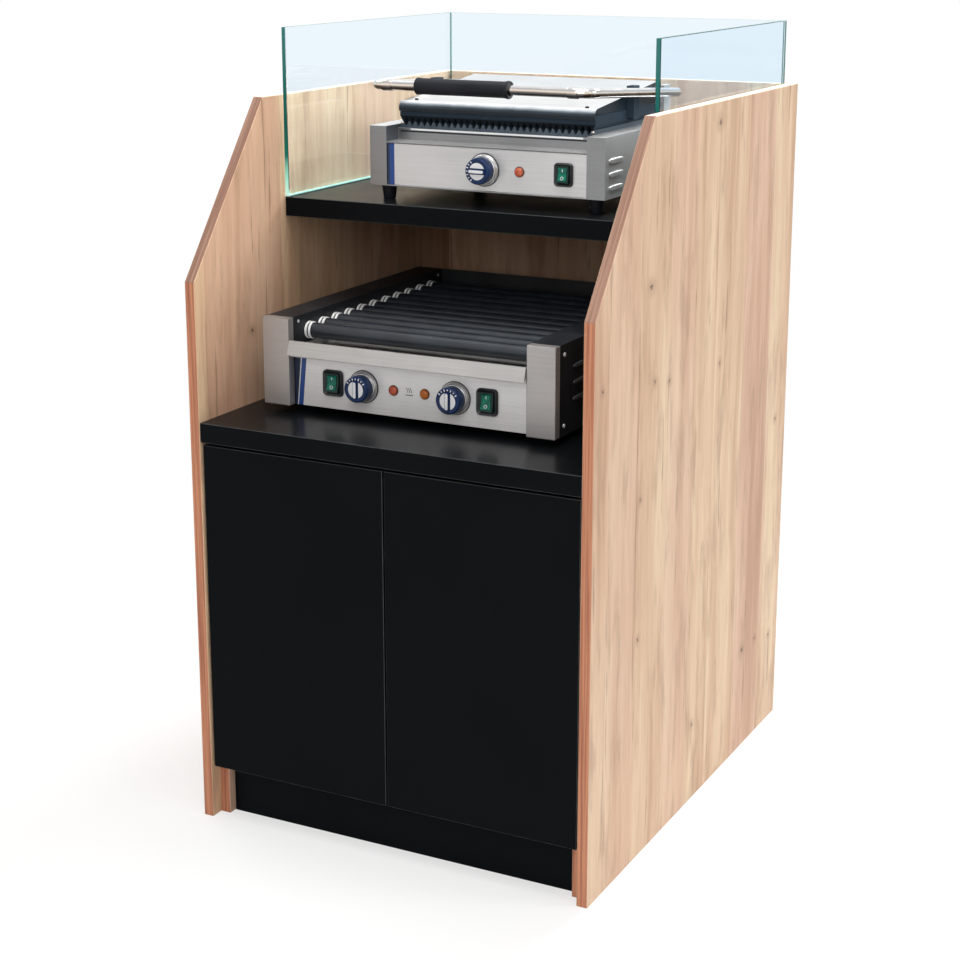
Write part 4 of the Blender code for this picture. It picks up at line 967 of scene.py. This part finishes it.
def add_contact_grill_trim():
    """Three rows of stamped louvres on each side of the body, and a bright drip edge, a black strip under it
    as painted shade, and two screws in front of the lower plate."""
    low, high, _ = box_of("contact_grill_body")
    foot = box_of("contact_grill_panel")[0][2]
    for side, way in SIDES:
        outer = high[0] if way > 0 else low[0]
        slots = [pillow((outer, low[1] + (42 + 98 * column) * MM, foot + (14 + 21 * row) * MM),
                        mm((3.0, 27, 4.4)), 0.5) for row in range(3) for column in range(3)]
        make_piece(f"contact_grill_{side}_louvres", slots, "body_sheet", "root")
    low, high, _ = box_of("lower_plate")
    corner = np.array([low[1] - MM, low[2] - 0.6 * MM])
    edge = corner + mm([(-0.6, -2.6), (0.2, -2.6), (0.2, 0), (-0.6, 0)])
    make_piece("deck_edge", [slab(edge, low[0] + 20 * MM, high[0] - 20 * MM)], "lid", "root")
    # Painted shade: a black strip under the drip edge stands for the shadow line there
    gap = edge - mm((0, 3.4))
    gap = slab(gap, low[0] + 2 * MM, high[0] - 2 * MM)
    make_piece("deck_shadow_strip", [gap], "black_steel", "root")
    pins = [screw_head((place, low[1], high[2] - 3 * MM), AHEAD, 2.6 * MM, 1.4 * MM)
            for place in (low[0] + 4 * MM, high[0] - 4 * MM)]
    make_piece("lower_plate_screws", pins, "chrome", "root")


# Stage, light and camera

CAMERA_PLACE = (1.4241, -2.8686, 1.4520)
CAMERA_TURN = 0.4755        # radians to the left of straight ahead
CAMERA_DROP = 0.2494        # radians below the horizon
CAMERA_LENS = 72.80         # millimetres on a 36 mm sensor
CAMERA_SHIFT = -0.07
FLOOR_REACH = 40.0          # metres from the middle to the floor's edge
WHITE = (1.0, 1.0, 1.0)

# Name, place, point it is aimed at, size in metres, power in watts
STUDIO_LAMPS = (
    ("back lamp", (0.7, 3.2, 3.5), (-0.1, 0.0, 0.9), 1.0, 120.0),
    ("window lamp", (5.4, 1.2, 3.9), (0.0, 0.0, 0.8), 1.6, 108.0),
    ("top lamp", (0.5, -0.7, 3.9), (-0.1, -0.2, 0.8), 2.2, 92.0),
    ("front lamp", (0.9, -3.2, 2.35), (0.0, 0.0, 0.7), 2.2, 44.0),
    ("left lamp", (-4.0, 1.2, 4.6), (0.0, 0.0, 0.7), 2.4, 85.0),
)


def seen_rays(nodes):
    """1 for rays from the camera, a mirror or a pane, and 0 for light that falls on the object."""
    rays = nodes.add("LightPath").outputs
    return nodes.most(rays["Is Camera Ray"], rays["Is Glossy Ray"], rays["Is Transmission Ray"])


def make_stage():
    """A wide white floor that keeps the object's shadow, and a white surround that lights it softly."""
    mesh = bpy.data.meshes.new("floor")
    corners = np.array([(-1, -1, 0), (1, -1, 0), (1, 1, 0), (-1, 1, 0)]) * FLOOR_REACH + Z * CAD_BOX[0][2]
    mesh.from_pydata(corners.tolist(), [], [(0, 1, 2, 3)])
    coat = Finish("studio floor")
    coat.set(Base_Color=(0.93, 0.93, 0.93), Roughness=0.9, Specular_IOR_Level=0.0)
    x, y, _ = coat.spot()
    away = coat.calc("SQRT", coat.plus(coat.times(x, x), coat.times(y, y)))
    bright = coat.times(coat.spread(away, 0.6, 2.2, 0.60, 1.0), seen_rays(coat))
    coat.show(bright, coat.shader, coat.add("Emission", Color=WHITE, Strength=1.0))
    mesh.materials.append(coat.material)
    floor = put_in_scene("floor", mesh)
    world = bpy.data.worlds.new("studio")
    bpy.context.scene.world = world
    world.use_nodes = True
    air = Nodes(world.node_tree)
    shown = air.tree.nodes["Background"]
    air.put(shown.inputs["Color"], WHITE)
    air.put(shown.inputs["Strength"], 1.0)
    soft = air.add("Background", Color=(1.0, 0.90, 0.83), Strength=0.225)
    air.show(seen_rays(air), soft, shown, "World Output")


def add_studio_lamp(name, place, target, size, power):
    """A soft square studio lamp aimed at a point."""
    light = bpy.data.lights.new(name, "AREA")
    light.shape = "SQUARE"
    light.size = size
    light.energy = power
    lamp = put_in_scene(name, light)
    lamp.location = place
    ahead = np.subtract(target, place)
    drop = math.atan2(-ahead[2], math.hypot(ahead[0], ahead[1]))
    lamp.rotation_euler = (math.pi / 2 - drop, 0, math.atan2(-ahead[0], ahead[1]))


def make_camera():
    """The camera at the photograph's angle."""
    data = bpy.data.cameras.new("camera")
    data.sensor_width = 36.0
    data.lens = CAMERA_LENS
    data.shift_y = CAMERA_SHIFT
    camera = put_in_scene("camera", data)
    camera.location = CAMERA_PLACE
    camera.rotation_euler = (math.pi / 2 - CAMERA_DROP, 0, CAMERA_TURN)
    bpy.context.scene.camera = camera


CONTROLS = ("roller_grill_left", "roller_grill_right", "contact_grill")
dress_nodes()
soften_edges()
add_hinge_cups()
add_rollers()
add_roller_grill_trim()
for control, quarter in zip(CONTROLS, (0, 0, -1)):
    add_knob(control + "_knob", quarter)
for control, lens in zip(CONTROLS, ("red_lens", "amber_lens", "red_lens")):
    add_lamp(control + "_lamp", lens)
for control, size in zip(CONTROLS, (1.0, 1.0, 0.87)):
    add_rocker(control + "_rocker", size)
add_feet()
add_lid()
add_handle()
add_contact_grill_trim()
make_stage()
for lamp in STUDIO_LAMPS:
    add_studio_lamp(*lamp)
make_camera()
bpy.context.scene.view_settings.view_transform = "Standard"
